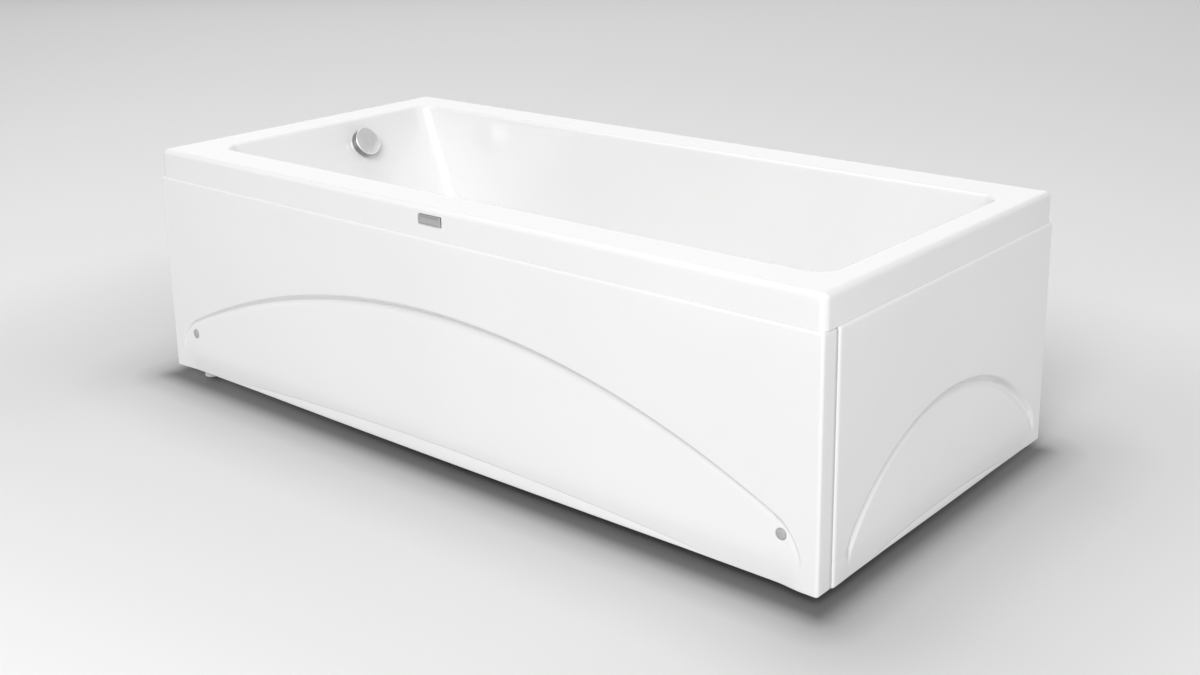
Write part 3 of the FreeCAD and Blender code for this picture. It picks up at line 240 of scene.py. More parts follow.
# Overflow hose and cable: start on the overflow's axes, height under the bath, and how far from the
# drain's middle the end is
hose_start = (0.064, 0.0, -0.032)
hose_level = 0.105
hose_reach = 0.064
hose_step = 0.0006
hose_cuff = 0.032
hose_cuff_radius = 0.015
hose_pitch = 0.005
hose_crest = 0.016
hose_root = 0.0142
hose_bore = 0.0125
hose_swell_power = 0.6
hose_segments = 40
hose_bore_stride = 8
cable_start = (0.064, -0.030, -0.0445)
cable_level = 0.072
cable_reach = 0.052
cable_step = 0.004
cable_radius = 0.0025
cable_segments = 16

# Studio: the surround's strength as a light and as it is seen, and the floor's tones by their distance
# from the bath's footprint, a painted shadow round the bath, with the share of them that is left far in
# front as painted shade under the lamp
surround_light = 0.34
surround_seen = 0.55
floor_reach = 30.0
floor_bounce = 0.66
# Painted shade: the floor's colour falls far in front, where the front lamp lights it most
floor_front_painted_shade_start = -1.6
floor_front_painted_shade_end = -4.0
floor_front_painted_shade_share = 0.70
# Painted shadow round the bath: its middle, and the floor's colour by distance from the footprint
floor_painted_shadow_middle = (0.004, -0.010, 0.0)
floor_painted_shadow_tones = ((0.0, 0.14), (0.018, 0.26), (0.045, 0.46), (0.1, 0.62), (0.25, 0.74), (0.6, 0.81),
               (1.0, 0.94))

# Camera, fitted to the photograph's corners
image_width = 1200.0
image_height = 675.0
camera_yaw = 0.704034
camera_pitch = 0.263436
camera_roll = -0.014893
camera_focal_px = 1501.04
camera_axis_row = 220.0
camera_shares = np.array([1.654412, -1.073578, 0.700267])
sensor_width = 36.0


# Shared helpers

def grid_faces(rows, columns, close_rows=False, close_columns=False):
    """Quads between neighbouring rows and columns of a grid, wrapped round where it closes."""
    row = np.arange(rows if close_rows else rows - 1)[:, None]
    column = np.arange(columns if close_columns else columns - 1)[None, :]
    next_row = (row + 1) % rows
    next_column = (column + 1) % columns
    corners = [row * columns + column, row * columns + next_column,
               next_row * columns + next_column, next_row * columns + column]
    shape = np.broadcast(row, column).shape
    return np.stack([np.broadcast_to(corner, shape) for corner in corners], -1).reshape(-1, 4)


def place_piece(name, mesh, finish, body, nodes):
    """Piece with one finish that rides on a body and stands for the nodes it replaces."""
    mesh.materials.append(finishes[finish])
    piece = bpy.data.objects.new(name, mesh)
    bpy.context.scene.collection.objects.link(piece)
    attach(piece, body)
    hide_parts(*nodes)


def surface(name, points, faces, finish, body, nodes):
    """Smooth piece from an array of points and an array of faces, with doubles merged."""
    mesh = bpy.data.meshes.new(name)
    mesh.from_pydata(points.reshape(-1, 3).tolist(), [], faces.tolist())
    work = bmesh.new()
    work.from_mesh(mesh)
    bmesh.ops.remove_doubles(work, verts=work.verts, dist=merge_reach)
    bmesh.ops.dissolve_degenerate(work, edges=work.edges, dist=flat_reach)
    work.to_mesh(mesh)
    work.free()
    mesh.polygons.foreach_set("use_smooth", np.ones(len(mesh.polygons), dtype=bool))
    place_piece(name, mesh, finish, body, nodes)


def capped_piece(name, loops, finish, node, smooth=False, turned=False):
    """Closed piece on the bath from a stack of loops: quads between them, and one flat face over the first
    loop and one over the last. Turned loops run the other way round."""
    rows, columns = loops.shape[:2]
    quads = grid_faces(rows, columns, False, True)
    caps = np.stack([np.arange(columns)[::-1], np.arange(columns) + (rows - 1) * columns])
    if turned:
        quads, caps = quads[:, ::-1], caps[:, ::-1]
    mesh = bpy.data.meshes.new(name)
    mesh.from_pydata(loops.reshape(-1, 3).tolist(), [], quads.tolist() + caps.tolist())
    mesh.polygons.foreach_set("use_smooth", np.full(len(mesh.polygons), smooth))
    place_piece(name, mesh, finish, "bath", [node])


def ease(share):
    """Smooth step from 0 to 1."""
    share = np.clip(share, 0.0, 1.0)
    return share * share * (3.0 - 2.0 * share)


def arc_shares(steps):
    """Even shares from 0 to 1."""
    return np.linspace(0.0, 1.0, steps)


def unit(vector):
    """Direction of a vector."""
    return vector / np.linalg.norm(vector)


# Materials

def new_material(name):
    """Empty node material with one principled shader."""
    material = bpy.data.materials.new(name)
    material.use_nodes = True
    nodes = material.node_tree.nodes
    nodes.clear()
    output = nodes.new("ShaderNodeOutputMaterial")
    shader = nodes.new("ShaderNodeBsdfPrincipled")
    material.node_tree.links.new(shader.outputs["BSDF"], output.inputs["Surface"])
    return material, shader


def object_place(material, stretch=(1.0, 1.0, 1.0)):
    """Object coordinates through a mapping that stretches the pattern."""
    nodes, links = material.node_tree.nodes, material.node_tree.links
    place = nodes.new("ShaderNodeTexCoord")
    mapping = nodes.new("ShaderNodeMapping")
    mapping.inputs["Scale"].default_value = stretch
    links.new(place.outputs["Object"], mapping.inputs["Vector"])
    return mapping.outputs["Vector"]


def noise(material, vector, scale, detail=3.0, roughness=0.5):
    """Noise pattern along a vector."""
    node = material.node_tree.nodes.new("ShaderNodeTexNoise")
    node.inputs["Scale"].default_value = scale
    node.inputs["Detail"].default_value = detail
    node.inputs["Roughness"].default_value = roughness
    material.node_tree.links.new(vector, node.inputs["Vector"])
    return node.outputs["Fac"]


def spread(material, value, low, high, start=0.3, end=0.7):
    """A pattern's values moved from one range to another."""
    node = material.node_tree.nodes.new("ShaderNodeMapRange")
    node.inputs["From Min"].default_value = start
    node.inputs["From Max"].default_value = end
    node.inputs["To Min"].default_value = low
    node.inputs["To Max"].default_value = high
    material.node_tree.links.new(value, node.inputs["Value"])
    return node.outputs["Result"]


def tint(material, value, dark, light, start=0.3, end=0.7):
    """Two colours mixed by a pattern."""
    ramp = material.node_tree.nodes.new("ShaderNodeValToRGB")
    for element, place, colour in zip(ramp.color_ramp.elements, (start, end), (dark, light)):
        element.position = place
        element.color = (*colour, 1.0)
    material.node_tree.links.new(value, ramp.inputs["Fac"])
    return ramp.outputs["Color"]


def mixed(material, share, first, second, kind):
    """Two values or two colours mixed by a share."""
    node = material.node_tree.nodes.new("ShaderNodeMix")
    node.data_type = kind
    for socket, value in (("Factor", share), ("A", first), ("B", second)):
        material.node_tree.links.new(value, node.inputs[socket])
    return node.outputs["Result"]


def bump(material, shader, value, distance, strength=1.0):
    """Relief on the shader from a pattern."""
    node = material.node_tree.nodes.new("ShaderNodeBump")
    node.inputs["Distance"].default_value = distance
    node.inputs["Strength"].default_value = strength
    material.node_tree.links.new(value, node.inputs["Height"])
    material.node_tree.links.new(node.outputs["Normal"], shader.inputs["Normal"])


def dress(material, shader, colour, roughness):
    """Links a colour and a roughness to the shader."""
    material.node_tree.links.new(colour, shader.inputs["Base Color"])
    material.node_tree.links.new(roughness, shader.inputs["Roughness"])


def patterned(name, dark, light, scale, rough, distance, metallic=0.0, stretch=(1.0, 1.0, 1.0)):
    """Finish whose colour, roughness and relief all follow one stretched noise."""
    material, shader = new_material(name)
    value = noise(material, object_place(material, stretch), scale, 4.0)
    dress(material, shader, tint(material, value, dark, light), spread(material, value, *rough))
    shader.inputs["Metallic"].default_value = metallic
    bump(material, shader, value, distance)
    return material


def acrylic():
    """Polished white acrylic: faint cloudiness, slight haze and the long ripple of a formed sheet."""
    material, shader = new_material("white_acrylic")
    vector = object_place(material)
    cloud = noise(material, vector, 3.0, 2.0)
    haze = noise(material, vector, 40.0, 3.0)
    ripple = noise(material, vector, 14.0, 1.0)
    white = tint(material, cloud, (0.868, 0.868, 0.866), (0.888, 0.888, 0.886))
    dress(material, shader, white, spread(material, haze, 0.16, 0.23))
    shader.inputs["IOR"].default_value = 1.49
    shader.inputs["Coat Weight"].default_value = 0.25
    shader.inputs["Coat Roughness"].default_value = 0.11
    bump(material, shader, ripple, 0.0006, 0.25)
    return material


def glass_fibre():
    """Chopped glass strand in resin: milky, with short crossing fibres and a rolled, uneven skin."""
    material, shader = new_material("glass_fibre")
    strands = (noise(material, object_place(material, (1.0, 9.0, 3.0)), 60.0, 3.0),
               noise(material, object_place(material, (9.0, 1.0, 7.0)), 55.0, 3.0))
    both = material.node_tree.nodes.new("ShaderNodeMath")
    both.operation = "MULTIPLY"
    for strand, socket in zip(strands, both.inputs):
        material.node_tree.links.new(strand, socket)
    value = both.outputs["Value"]
    resin = tint(material, value, (0.62, 0.62, 0.57), (0.83, 0.83, 0.79), 0.12, 0.42)
    dress(material, shader, resin, spread(material, value, 0.35, 0.6, 0.12, 0.42))
    bump(material, shader, value, 0.002, 0.6)
    return material


def chipboard():
    """Pressed wood chips: cells of several browns with fine dust between them."""
    material, shader = new_material("chipboard")
    nodes, links = material.node_tree.nodes, material.node_tree.links
    cells = nodes.new("ShaderNodeTexVoronoi")
    cells.inputs["Scale"].default_value = 160.0
    links.new(object_place(material, (1.0, 1.6, 2.5)), cells.inputs["Vector"])
    grey = nodes.new("ShaderNodeSeparateColor")
    links.new(cells.outputs["Color"], grey.inputs["Color"])
    browns = tint(material, grey.outputs["Red"], (0.36, 0.24, 0.13), (0.66, 0.5, 0.32), 0.1, 0.9)
    dust = noise(material, object_place(material), 500.0, 2.0)
    dress(material, shader, browns, spread(material, dust, 0.65, 0.85))
    bump(material, shader, cells.outputs["Distance"], 0.0006, 0.5)
    return material


def softwood(name, grain):
    """Sawn softwood: long grain along one axis with darker late wood."""
    material, shader = new_material(name)
    rings = noise(material, object_place(material, grain), 70.0, 5.0, 0.6)
    wood = tint(material, rings, (0.44, 0.29, 0.16), (0.72, 0.55, 0.36), 0.35, 0.62)
    dress(material, shader, wood, spread(material, rings, 0.55, 0.75))
    bump(material, shader, rings, 0.0005, 0.5)
    return material


def polished_chrome():
    """Chrome with faint wiping marks in its gloss."""
    material, shader = new_material("polished_chrome")
    wipe = noise(material, object_place(material, (1.0, 3.0, 1.0)), 120.0, 3.0)
    silver = tint(material, wipe, (0.76, 0.762, 0.765), (0.81, 0.812, 0.813))
    dress(material, shader, silver, spread(material, wipe, 0.05, 0.11))
    shader.inputs["Metallic"].default_value = 1.0
    return material


def knob_chrome():
    """Satin face above a polished side whose darker colour is a painted dark reflection. The height of a
    place is its length along the knob's axis, and the two finishes meet over a short run at the height of
    the knob's edge."""
    material, shader = new_material("knob_chrome")
    wipe = noise(material, object_place(material, (1.0, 3.0, 1.0)), 40.0, 3.0)
    along = material.node_tree.nodes.new("ShaderNodeVectorMath")
    along.operation = "DOT_PRODUCT"
    along.inputs[1].default_value = tuple(wall_normal)
    material.node_tree.links.new(object_place(material), along.inputs[0])
    edge = float(overflow_origin @ wall_normal) + knob_edge
    face = spread(material, along.outputs["Value"], 0.0, 1.0, edge - knob_finish_run, edge)
    # Painted reflection: the side's dark colour stands in for dark surroundings mirrored in the chrome
    painted_reflection_side_tone = tint(material, wipe, (0.26, 0.262, 0.268), (0.32, 0.322, 0.328))
    face_tone = tint(material, wipe, (0.88, 0.882, 0.885), (0.92, 0.922, 0.923))
    side_gloss = spread(material, wipe, 0.1, 0.16)
    face_gloss = spread(material, wipe, 0.34, 0.38)
    dress(material, shader, mixed(material, face, painted_reflection_side_tone, face_tone, "RGBA"),
          mixed(material, face, side_gloss, face_gloss, "FLOAT"))
    shader.inputs["Metallic"].default_value = 1.0
    return material


finishes = {
    "white_acrylic": acrylic(),
    "glass_fibre": glass_fibre(),
    "chipboard": chipboard(),
    "batten_x": softwood("batten_wood_along", (0.05, 1.0, 1.0)),
    "batten_y": softwood("batten_wood_across", (1.0, 0.05, 1.0)),
    "chrome": polished_chrome(),
    "knob_chrome": knob_chrome(),
}

# Slot, name, dark and light colour, scale, roughness, relief, and for metals their share and stretch
patterned_finishes = (
    ("frame_paint", "frame_powder_coat",
     (0.5, 0.51, 0.52), (0.55, 0.56, 0.57), 420.0, (0.38, 0.5), 0.0003),
    ("zinc_steel", "zinc_plate",
     (0.5, 0.51, 0.52), (0.66, 0.67, 0.67), 90.0, (0.28, 0.42), 0.0001, 1.0),
    ("brushed_plate", "brushed_plate",
     (0.5, 0.5, 0.51), (0.62, 0.62, 0.63), 60.0, (0.28, 0.4), 0.00004, 1.0,
     (0.6, 20.0, 40.0)),
    ("grey_plastic", "grey_cap_plastic",
     (0.42, 0.42, 0.425), (0.47, 0.47, 0.475), 300.0, (0.35, 0.45), 0.0001),
    ("black_plastic", "black_plastic",
     (0.012, 0.012, 0.013), (0.022, 0.022, 0.023), 500.0, (0.42, 0.55), 0.0002),
    ("black_rubber", "black_rubber",
     (0.012, 0.012, 0.012), (0.025, 0.025, 0.025), 260.0, (0.65, 0.8), 0.0002),
    ("waste_plastic", "waste_plastic",
     (0.73, 0.73, 0.71), (0.78, 0.78, 0.765), 240.0, (0.34, 0.46), 0.00015),
    ("hose_plastic", "hose_plastic",
     (0.27, 0.275, 0.28), (0.33, 0.335, 0.34), 200.0, (0.4, 0.52), 0.0002),
    ("foot_plastic", "foot_plastic",
     (0.74, 0.74, 0.73), (0.79, 0.79, 0.78), 260.0, (0.4, 0.5), 0.00015),
)
for slot, *look in patterned_finishes:
    finishes[slot] = patterned(*look)


# Bath shell

def front_shares():
    """Shares along the front side, closest where the plate's pocket begins and ends."""
    span = half_length - skirt_setback[1] - rim_corner_radius
    steps = np.concatenate([[0.0], badge_half + pocket_rows, front_row_places])
    places = np.concatenate([-steps[:0:-1], steps])
    return (places + span) / (span + span)


def rim_loops(insets, heights, radii, corner_steps=16, edge_steps=6):
    """Rounded rectangles, one per row of the profile. Each side stands in from the bath's outer face by its
    inset, each corner is a quarter circle of the row's radius, and round a corner the height eases from one
    side's to the next one's."""
    front, right, back, left = insets.T
    x0, x1 = left - half_length, half_length - right
    y0, y1 = front - half_width, half_width - back
    turn = arc_shares(corner_steps)
    along = arc_shares(edge_steps + 2)[1:-1]
    centres = ((x1 - radii, y0 + radii), (x1 - radii, y1 - radii),
               (x0 + radii, y1 - radii), (x0 + radii, y0 + radii))
    corners = []
    for index, (centre_x, centre_y) in enumerate(centres):
        angle = (index - 1 + turn) * math.pi / 2
        first, second = heights[:, index], heights[:, (index + 1) % 4]
        x = centre_x[:, None] + radii[:, None] * np.cos(angle)
        y = centre_y[:, None] + radii[:, None] * np.sin(angle)
        z = first[:, None] + (second - first)[:, None] * ease(turn)
        corners.append(np.stack([x, y, z], -1))
    loops = []
    for index, corner in enumerate(corners):
        start, end = corner[:, -1:], corners[(index + 1) % 4][:, :1]
        shares = front_shares() if index == 3 else along
        loops += [corner, start + (end - start) * shares[None, :, None]]
    return np.concatenate(loops, axis=1)


def shell_profile(skin, low_edge):
    """Rows of the shell's section from the skirt's lower edge to the flat of the floor, moved into
    the sheet by skin: rounded foot, upright skirt, quarter round, level deck, round into the leaning
    wall, wall and the floor's fillet. Returns each row's inset and height per side, and its corner
    radius."""
    sides = np.ones(4)
    slope = math.pi / 2 - wall_leans
    roll_start = rim_widths - rim_roll_radius * np.tan(slope / 2)
    floor_edge = rim_widths + basin_depth * np.tan(wall_leans)
    fillet_end = floor_edge + floor_fillet_radius * np.tan(slope / 2)
    floor_top = rim_top - basin_depth
    insets, heights, radii = [], [], []

    def add(inset, height, radius):
        """Adds rows to the section."""
        insets.append(inset)
        heights.append(height)
        radii.append(np.broadcast_to(radius, inset.shape[:1]))

    turn = arc_shares(7)[:, None] * math.pi / 2
    foot = skin + skirt_edge_radius * (1.0 - np.sin(turn))
    foot_height = low_edge + skirt_edge_radius * (1.0 - np.cos(turn))
    add(foot * sides + skirt_setback, foot_height * sides, rim_corner_radius - foot[:, 0])
    badge_rows = np.concatenate([badge_low - pocket_rows[::-1], badge_high + pocket_rows])
    skirt = np.concatenate([[low_edge + skirt_edge_radius + skirt_row_low],
                            badge_rows[badge_rows > low_edge + pocket_row_room],
                            [rim_top - rim_edge_radius - skirt_row_high]])
    upright = np.full((len(skirt), 1), skin)
    add(upright * sides + skirt_setback, skirt[:, None] * sides, rim_corner_radius - skin)
    turn = arc_shares(9)[:, None] * math.pi / 2
    edge = rim_edge_radius - (rim_edge_radius - skin) * np.cos(turn)
    edge_height = rim_top - rim_edge_radius + (rim_edge_radius - skin) * np.sin(turn)
    add(edge * sides + skirt_setback, edge_height * sides, rim_corner_radius - edge[:, 0])
    deck_start = rim_edge_radius + skirt_setback
    deck = deck_start + (roll_start - deck_start) * deck_shares[:, None]
    deck_corner = rim_corner_radius - rim_edge_radius
    mouth_radius = mouth_corner_radius + np.mean(rim_widths - roll_start)
    add(deck, np.full_like(deck, rim_top - skin), deck_corner + (mouth_radius - deck_corner) * deck_shares)
    turn = arc_shares(9)[:, None] * slope
    roll = roll_start + (rim_roll_radius - skin) * np.sin(turn)
    roll_height = rim_top - rim_roll_radius + (rim_roll_radius - skin) * np.cos(turn)
    add(roll, roll_height, mouth_radius - np.mean(roll - roll_start, axis=1))
    turn = arc_shares(13)[::-1, None] * slope
    fillet = fillet_end - (floor_fillet_radius + skin) * np.sin(turn)
    fillet_height = floor_top + floor_fillet_radius - (floor_fillet_radius + skin) * np.cos(turn)
    wall = roll[-1] + (fillet[0] - roll[-1]) * wall_shares[:, None]
    wall_height = roll_height[-1] + (fillet_height[0] - roll_height[-1]) * wall_shares[:, None]
    growth = (floor_corner_radius - mouth_corner_radius) / basin_depth
    add(wall, wall_height, mouth_corner_radius + growth * np.mean(rim_top - wall_height, axis=1) + skin)
    wall_line = rim_widths + (rim_top - fillet_height) * np.tan(wall_leans)
    fillet_corner = mouth_corner_radius + growth * np.mean(rim_top - fillet_height, axis=1)
    add(fillet, fillet_height, fillet_corner - np.mean(fillet - wall_line, axis=1))
    return np.concatenate(insets), np.concatenate(heights), np.concatenate(radii)


def floor_loops(outline, rings):
    """Loops over the floor: the last outline drawn in towards the drain, then rings about the
    drain's axis given as (radius, height). Each point of a ring lies on the line from the drain to
    the outline's point, so the floor is a fan of straight spokes."""
    level = outline[:, 2].mean()
    spokes = outline[:, :2] - drain_centre
    spokes /= np.linalg.norm(spokes, axis=1, keepdims=True)
    first_ring = drain_centre + spokes * rings[0][0]
    fan = outline[None, :, :2] + (first_ring - outline[:, :2])[None] * floor_shares[:, None, None]
    fan = np.concatenate([fan, np.full(fan.shape[:2] + (1,), level)], -1)
    radii, heights = np.array(rings).T[..., None, None]
    round_loops = drain_centre + spokes[None] * radii
    round_heights = np.broadcast_to(heights, round_loops.shape[:2] + (1,))
    return np.concatenate([fan, np.concatenate([round_loops, round_heights], -1)])


def recess_rings(skin, hole_radius):
    """Rings of the drain's recess: rounded upper edge, upright wall, rounded foot, flat seat."""
    top = rim_top - basin_depth - skin
    low = top - drain_recess_depth
    wall = drain_recess_radius + skin
    turn = arc_shares(5) * math.pi / 2
    edge_radii = wall + recess_edge_radius * (1.0 - np.sin(turn))
    edge_heights = top - recess_edge_radius * (1.0 - np.cos(turn))
    foot_radii = wall - recess_edge_radius * (1.0 - np.cos(turn))
    foot_heights = low + recess_edge_radius * (1.0 - np.sin(turn))
    seat = [(wall - recess_edge_radius - recess_seat, low), (hole_radius, low)]
    return list(zip(edge_radii, edge_heights)) + list(zip(foot_radii, foot_heights)) + seat


def sheet_loops(skin, low_edge, hole_radius):
    """All loops of one face of the shell, from the skirt's lower edge to the drain hole. On the outer face
    the plate's pocket is let into the front of the skirt."""
    walls = rim_loops(*shell_profile(skin, low_edge))
    x, y, z = walls[..., 0], walls[..., 1], walls[..., 2]
    front = y < skin + skirt_setback[0] + touch - half_width
    beside = np.abs(x) < badge_half + touch
    level = (z > badge_low - touch) & (z < badge_high + touch)
    sunk = front & beside & level & (skin == 0.0)
    walls[..., 1] += np.where(sunk, badge_thickness, 0.0)
    return np.concatenate([walls, floor_loops(walls[-1], recess_rings(skin, hole_radius))])


def layer(name, outer_skin, inner_skin, low_edge, hole_radius, finish):
    """One closed layer of the shell: its outer face, and its inner face carried back the other way."""
    outer = sheet_loops(outer_skin, low_edge, hole_radius)
    inner = sheet_loops(inner_skin, low_edge, hole_radius)[::-1]
    loops = np.concatenate([outer, inner])
    faces = grid_faces(loops.shape[0], loops.shape[1], True, True)
    surface(name, loops, faces, finish, "bath", ["bath_shell"])


layer("acrylic_shell", 0.0, acrylic_thickness, skirt_low, drain_hole_radius, "white_acrylic")
layer("glass_fibre_backing", acrylic_thickness, shell_thickness, skirt_low + backing_skirt_gap,
      drain_hole_radius + backing_hole_gap, "glass_fibre")


# Panels

def arch_height(x, field):
    """Height of the field's upper edge along the panel: one circular arc through both shoulders and
    the apex, brought down to the lower edge at each end by a quarter of an ellipse. Past the ends it
    stays just above the lower edge."""
    half_span = (field.end - field.start) / 2
    middle = (field.start + field.end) / 2
    rise = field.apex - field.shoulder
    radius = (half_span ** 2 + rise ** 2) / (2 * rise)
    reach = np.clip(np.abs(x - middle), 0.0, half_span)
    arc = field.apex - radius + np.sqrt(radius ** 2 - reach ** 2)
    corner = (field.shoulder - field_lower_edge) * field_corner_share
    closing = np.clip((half_span - np.abs(x - middle)) / corner, 0.0, 1.0)
    rounded = np.sqrt(np.clip(1.0 - (1.0 - closing) ** 2, 0.0, 1.0))
    height = field_lower_edge + (arc - field_lower_edge) * rounded
    return np.maximum(height, field_lower_edge + field_corner_height)


def lip_height(x, lip_ends, rise):
    """Height of the lip's upper edge: a flat parabola from one end of the lip to the other."""
    half_span = (lip_ends[1] - lip_ends[0]) / 2
    share = (x - (lip_ends[0] + lip_ends[1]) / 2) / half_span
    return np.clip(rise * (1.0 - share ** 2), lip_least_height, rise)


def step_runs(x, arch, field):
    """Upright runs of the step under the arch and of the groove's return: both keep their width across the
    arch's line, so they grow with its steepness, and the step widens from the shoulders to the apex."""
    rise = arch_height(x + step_reach, field) - arch_height(x - step_reach, field)
    tilt = np.sqrt(1.0 + np.clip(rise / (2 * step_reach), -step_steepest, step_steepest) ** 2)
    share = np.clip((arch - field.shoulder) / (field.apex - field.shoulder), 0.0, 1.0)
    run = (field.low_run + (field.high_run - field.low_run) * share) * tilt
    return np.clip(run, step_least_run, (arch - field_lower_edge) * step_height_share), groove_return * tilt


def face_heights(arch, lip, top, runs):
    """Rows of the panel's face, closest where its relief turns: the lip's edge, the field's lower
    edge, and the slanted step and the groove under the arch."""
    low = np.zeros_like(arch) + panel_edge_radius
    rise = arch - field_lower_edge
    under_lip = np.maximum(lip - lip_step_run * lip_row_shares[0], low + face_row_least)
    over_lip = lip + lip_step_run * lip_row_shares[1]
    under_edge = np.full_like(arch, field_lower_edge - field_hinge)
    over_edge = field_lower_edge + np.minimum(field_hinge, rise * field_hinge_share)
    step_low = np.maximum(arch - runs[0] - runs[1], over_edge + face_row_gap + rise * step_row_share)
    stops = [low, under_lip, over_lip, under_edge, over_edge, step_low, arch + face_row_margin,
             np.full_like(arch, top - face_row_margin)]
    rows = [low[None]]
    for first, second, count in zip(stops[:-1], stops[1:], face_row_counts):
        rows.append(first[None] + (second - first)[None] * arc_shares(count + 1)[1:, None])
    return np.concatenate(rows)


def hinge(distance):
    """Smooth bend from level to rising: half the sum of the distance and the root of its square plus the
    bend's square."""
    return (distance + np.sqrt(distance ** 2 + field_hinge ** 2)) / 2


def relief(x, z, arch, lip, field):
    """Depth of the face behind the main plane: the field slopes in from its lower edge up to the arch, runs
    through a shallow groove there and comes back over a slanted step. Under it the strip slopes in down to
    the lip, which starts with a small step inwards and flares out again to its foot."""
    run, back = step_runs(x, arch, field)
    under = arch - z
    rise = np.clip(hinge(z - field_lower_edge) / (field.apex - field_lower_edge), 0.0, 1.0)
    field_depth = field.depth * rise * ease((arch - field_lower_edge - field_corner_height) / field_fade)
    groove = field.groove * ease((arch - field_lower_edge) / groove_fade)
    groove = groove * (1.0 - ease((under - run) / back))
    field_depth = (field_depth + groove) * ease(under / run)
    strip = field.strip_depth / field_lower_edge * hinge(field_lower_edge - np.maximum(z, lip))
    strip = strip * ease((x - field.start + strip_lead) / strip_start_fade)
    strip = strip * ease((field.end - x) / strip_end_fade)
    below = np.clip(lip - z, 0.0, None)
    lip_depth = lip_recess * ease(below / lip_step_run) - lip_flare * below
    return field_depth + np.maximum(strip + lip_depth * ease((lip - lip_least_height) / lip_fade), 0.0)


def panel_plan(start, end, field, end_return, end_radius):
    """Plan line of a panel from its near flange, round the near edge, along the face and round the far
    edge into the return. Returns x along the panel, depth behind its face, the inward direction and
    the width that a level flange may have there, which runs out to a mitre at both corners."""
    near = panel_edge_radius if end_return > panel_flange else panel_near_radius
    quarter = arc_shares(9) * math.pi / 2
    flange = np.linspace(panel_flange, near, 4)[:-1]
    back = np.linspace(end_radius, end_return, 5)[1:]
    first, last = field.start - field_row_margin, field.end + field_row_margin
    dense_first, dense_last = field.start + field_dense_run, field.end - field_dense_run
    face = np.concatenate([
        np.linspace(start + near, first, 8)[1:-1],
        np.linspace(first, dense_first, 40)[:-1],
        np.linspace(dense_first, dense_last, 120)[:-1],
        np.linspace(dense_last, last, 40)[:-1],
        np.linspace(last, end - end_radius, 8)[:-1]])
    x = np.concatenate([np.full_like(flange, start), start + near - near * np.cos(quarter), face,
                        end - end_radius + end_radius * np.sin(quarter), np.full_like(back, end)])
    y = np.concatenate([flange, near - near * np.sin(quarter), np.zeros_like(face),
                        end_radius - end_radius * np.cos(quarter), back])
    inward_x = np.concatenate([np.ones_like(flange), np.cos(quarter), np.zeros_like(face),
                               -np.sin(quarter), -np.ones_like(back)])
    inward_y = np.concatenate([np.zeros_like(flange), np.sin(quarter), np.ones_like(face),
                               np.cos(quarter), np.zeros_like(back)])
    room = np.concatenate([flange, np.full_like(quarter, near), np.minimum(face - start, end - face),
                           np.full_like(quarter, end_radius), back])
    return x, y, np.stack([inward_x, inward_y]), np.clip(room, panel_top_radius, panel_flange)


def panel_faces(start, end, field, lip_ends, end_return, end_radius):
    """Showing face and inner face of a panel as two grids of (along, behind, up): the plan line carried
    up the rows of the lower flange, the face with its relief and the upper flange. Edges are quarter
    circles outside; inside the sheet's thickness makes them square."""
    x, y, inward, room = panel_plan(start, end, field, end_return, end_radius)
    arch = arch_height(x, field)
    lip = lip_height(x, lip_ends, field.lip_rise)
    heights = face_heights(arch, lip, panel_height - panel_top_radius, step_runs(x, arch, field))[1:-1]
    depth = relief(x[None], heights, arch[None], lip[None], field)
    ones = np.ones_like(x)[None]
    quarter = arc_shares(9)[:, None] * math.pi / 2
    turn_in = (1.0 - np.sin(quarter)) * ones
    turn_up = (1.0 - np.cos(quarter)) * ones
    flange = np.array([1.0, 0.5])[:, None] * (room - panel_top_radius)[None] + panel_top_radius
    insets = np.concatenate([flange, turn_in * panel_edge_radius, np.zeros_like(heights),
                             turn_in[::-1] * panel_top_radius, flange[::-1]])
    rises = np.concatenate([np.zeros_like(flange), turn_up * panel_edge_radius, heights,
                            panel_height - turn_up[::-1] * panel_top_radius,
                            np.full_like(flange, panel_height)])
    foot = np.repeat(depth[:1], len(flange) + len(quarter), axis=0)
    depths = np.concatenate([foot, depth, np.zeros_like(turn_in), np.zeros_like(flange)])
    outer = np.stack([x + inward[0] * (insets + depths), y + inward[1] * (insets + depths), rises], -1)
    wall = sheet_thickness
    deep = np.maximum(insets, wall) + depths
    inner_x = np.clip(x + inward[0] * deep, start + wall, end - wall)
    inner_y = np.maximum(y + inward[1] * deep, wall)
    inner = np.stack([inner_x, inner_y, np.clip(rises, wall, panel_height - wall)], -1)
    return outer, inner


def sheet_faces(rows, columns):
    """Faces of a closed sheet whose outer rows are followed by its inner rows in turned order: the ring
    of rows, and a strip that closes each end column."""
    ring = grid_faces(2 * rows, columns, True, False)
    k = np.arange(rows - 1)
    twin = 2 * rows - 1 - k
    near = np.stack([k, k + 1, twin - 1, twin], -1) * columns
    far = np.stack([k + 1, k, twin, twin - 1], -1) * columns + columns - 1
    return np.concatenate([ring, near, far])


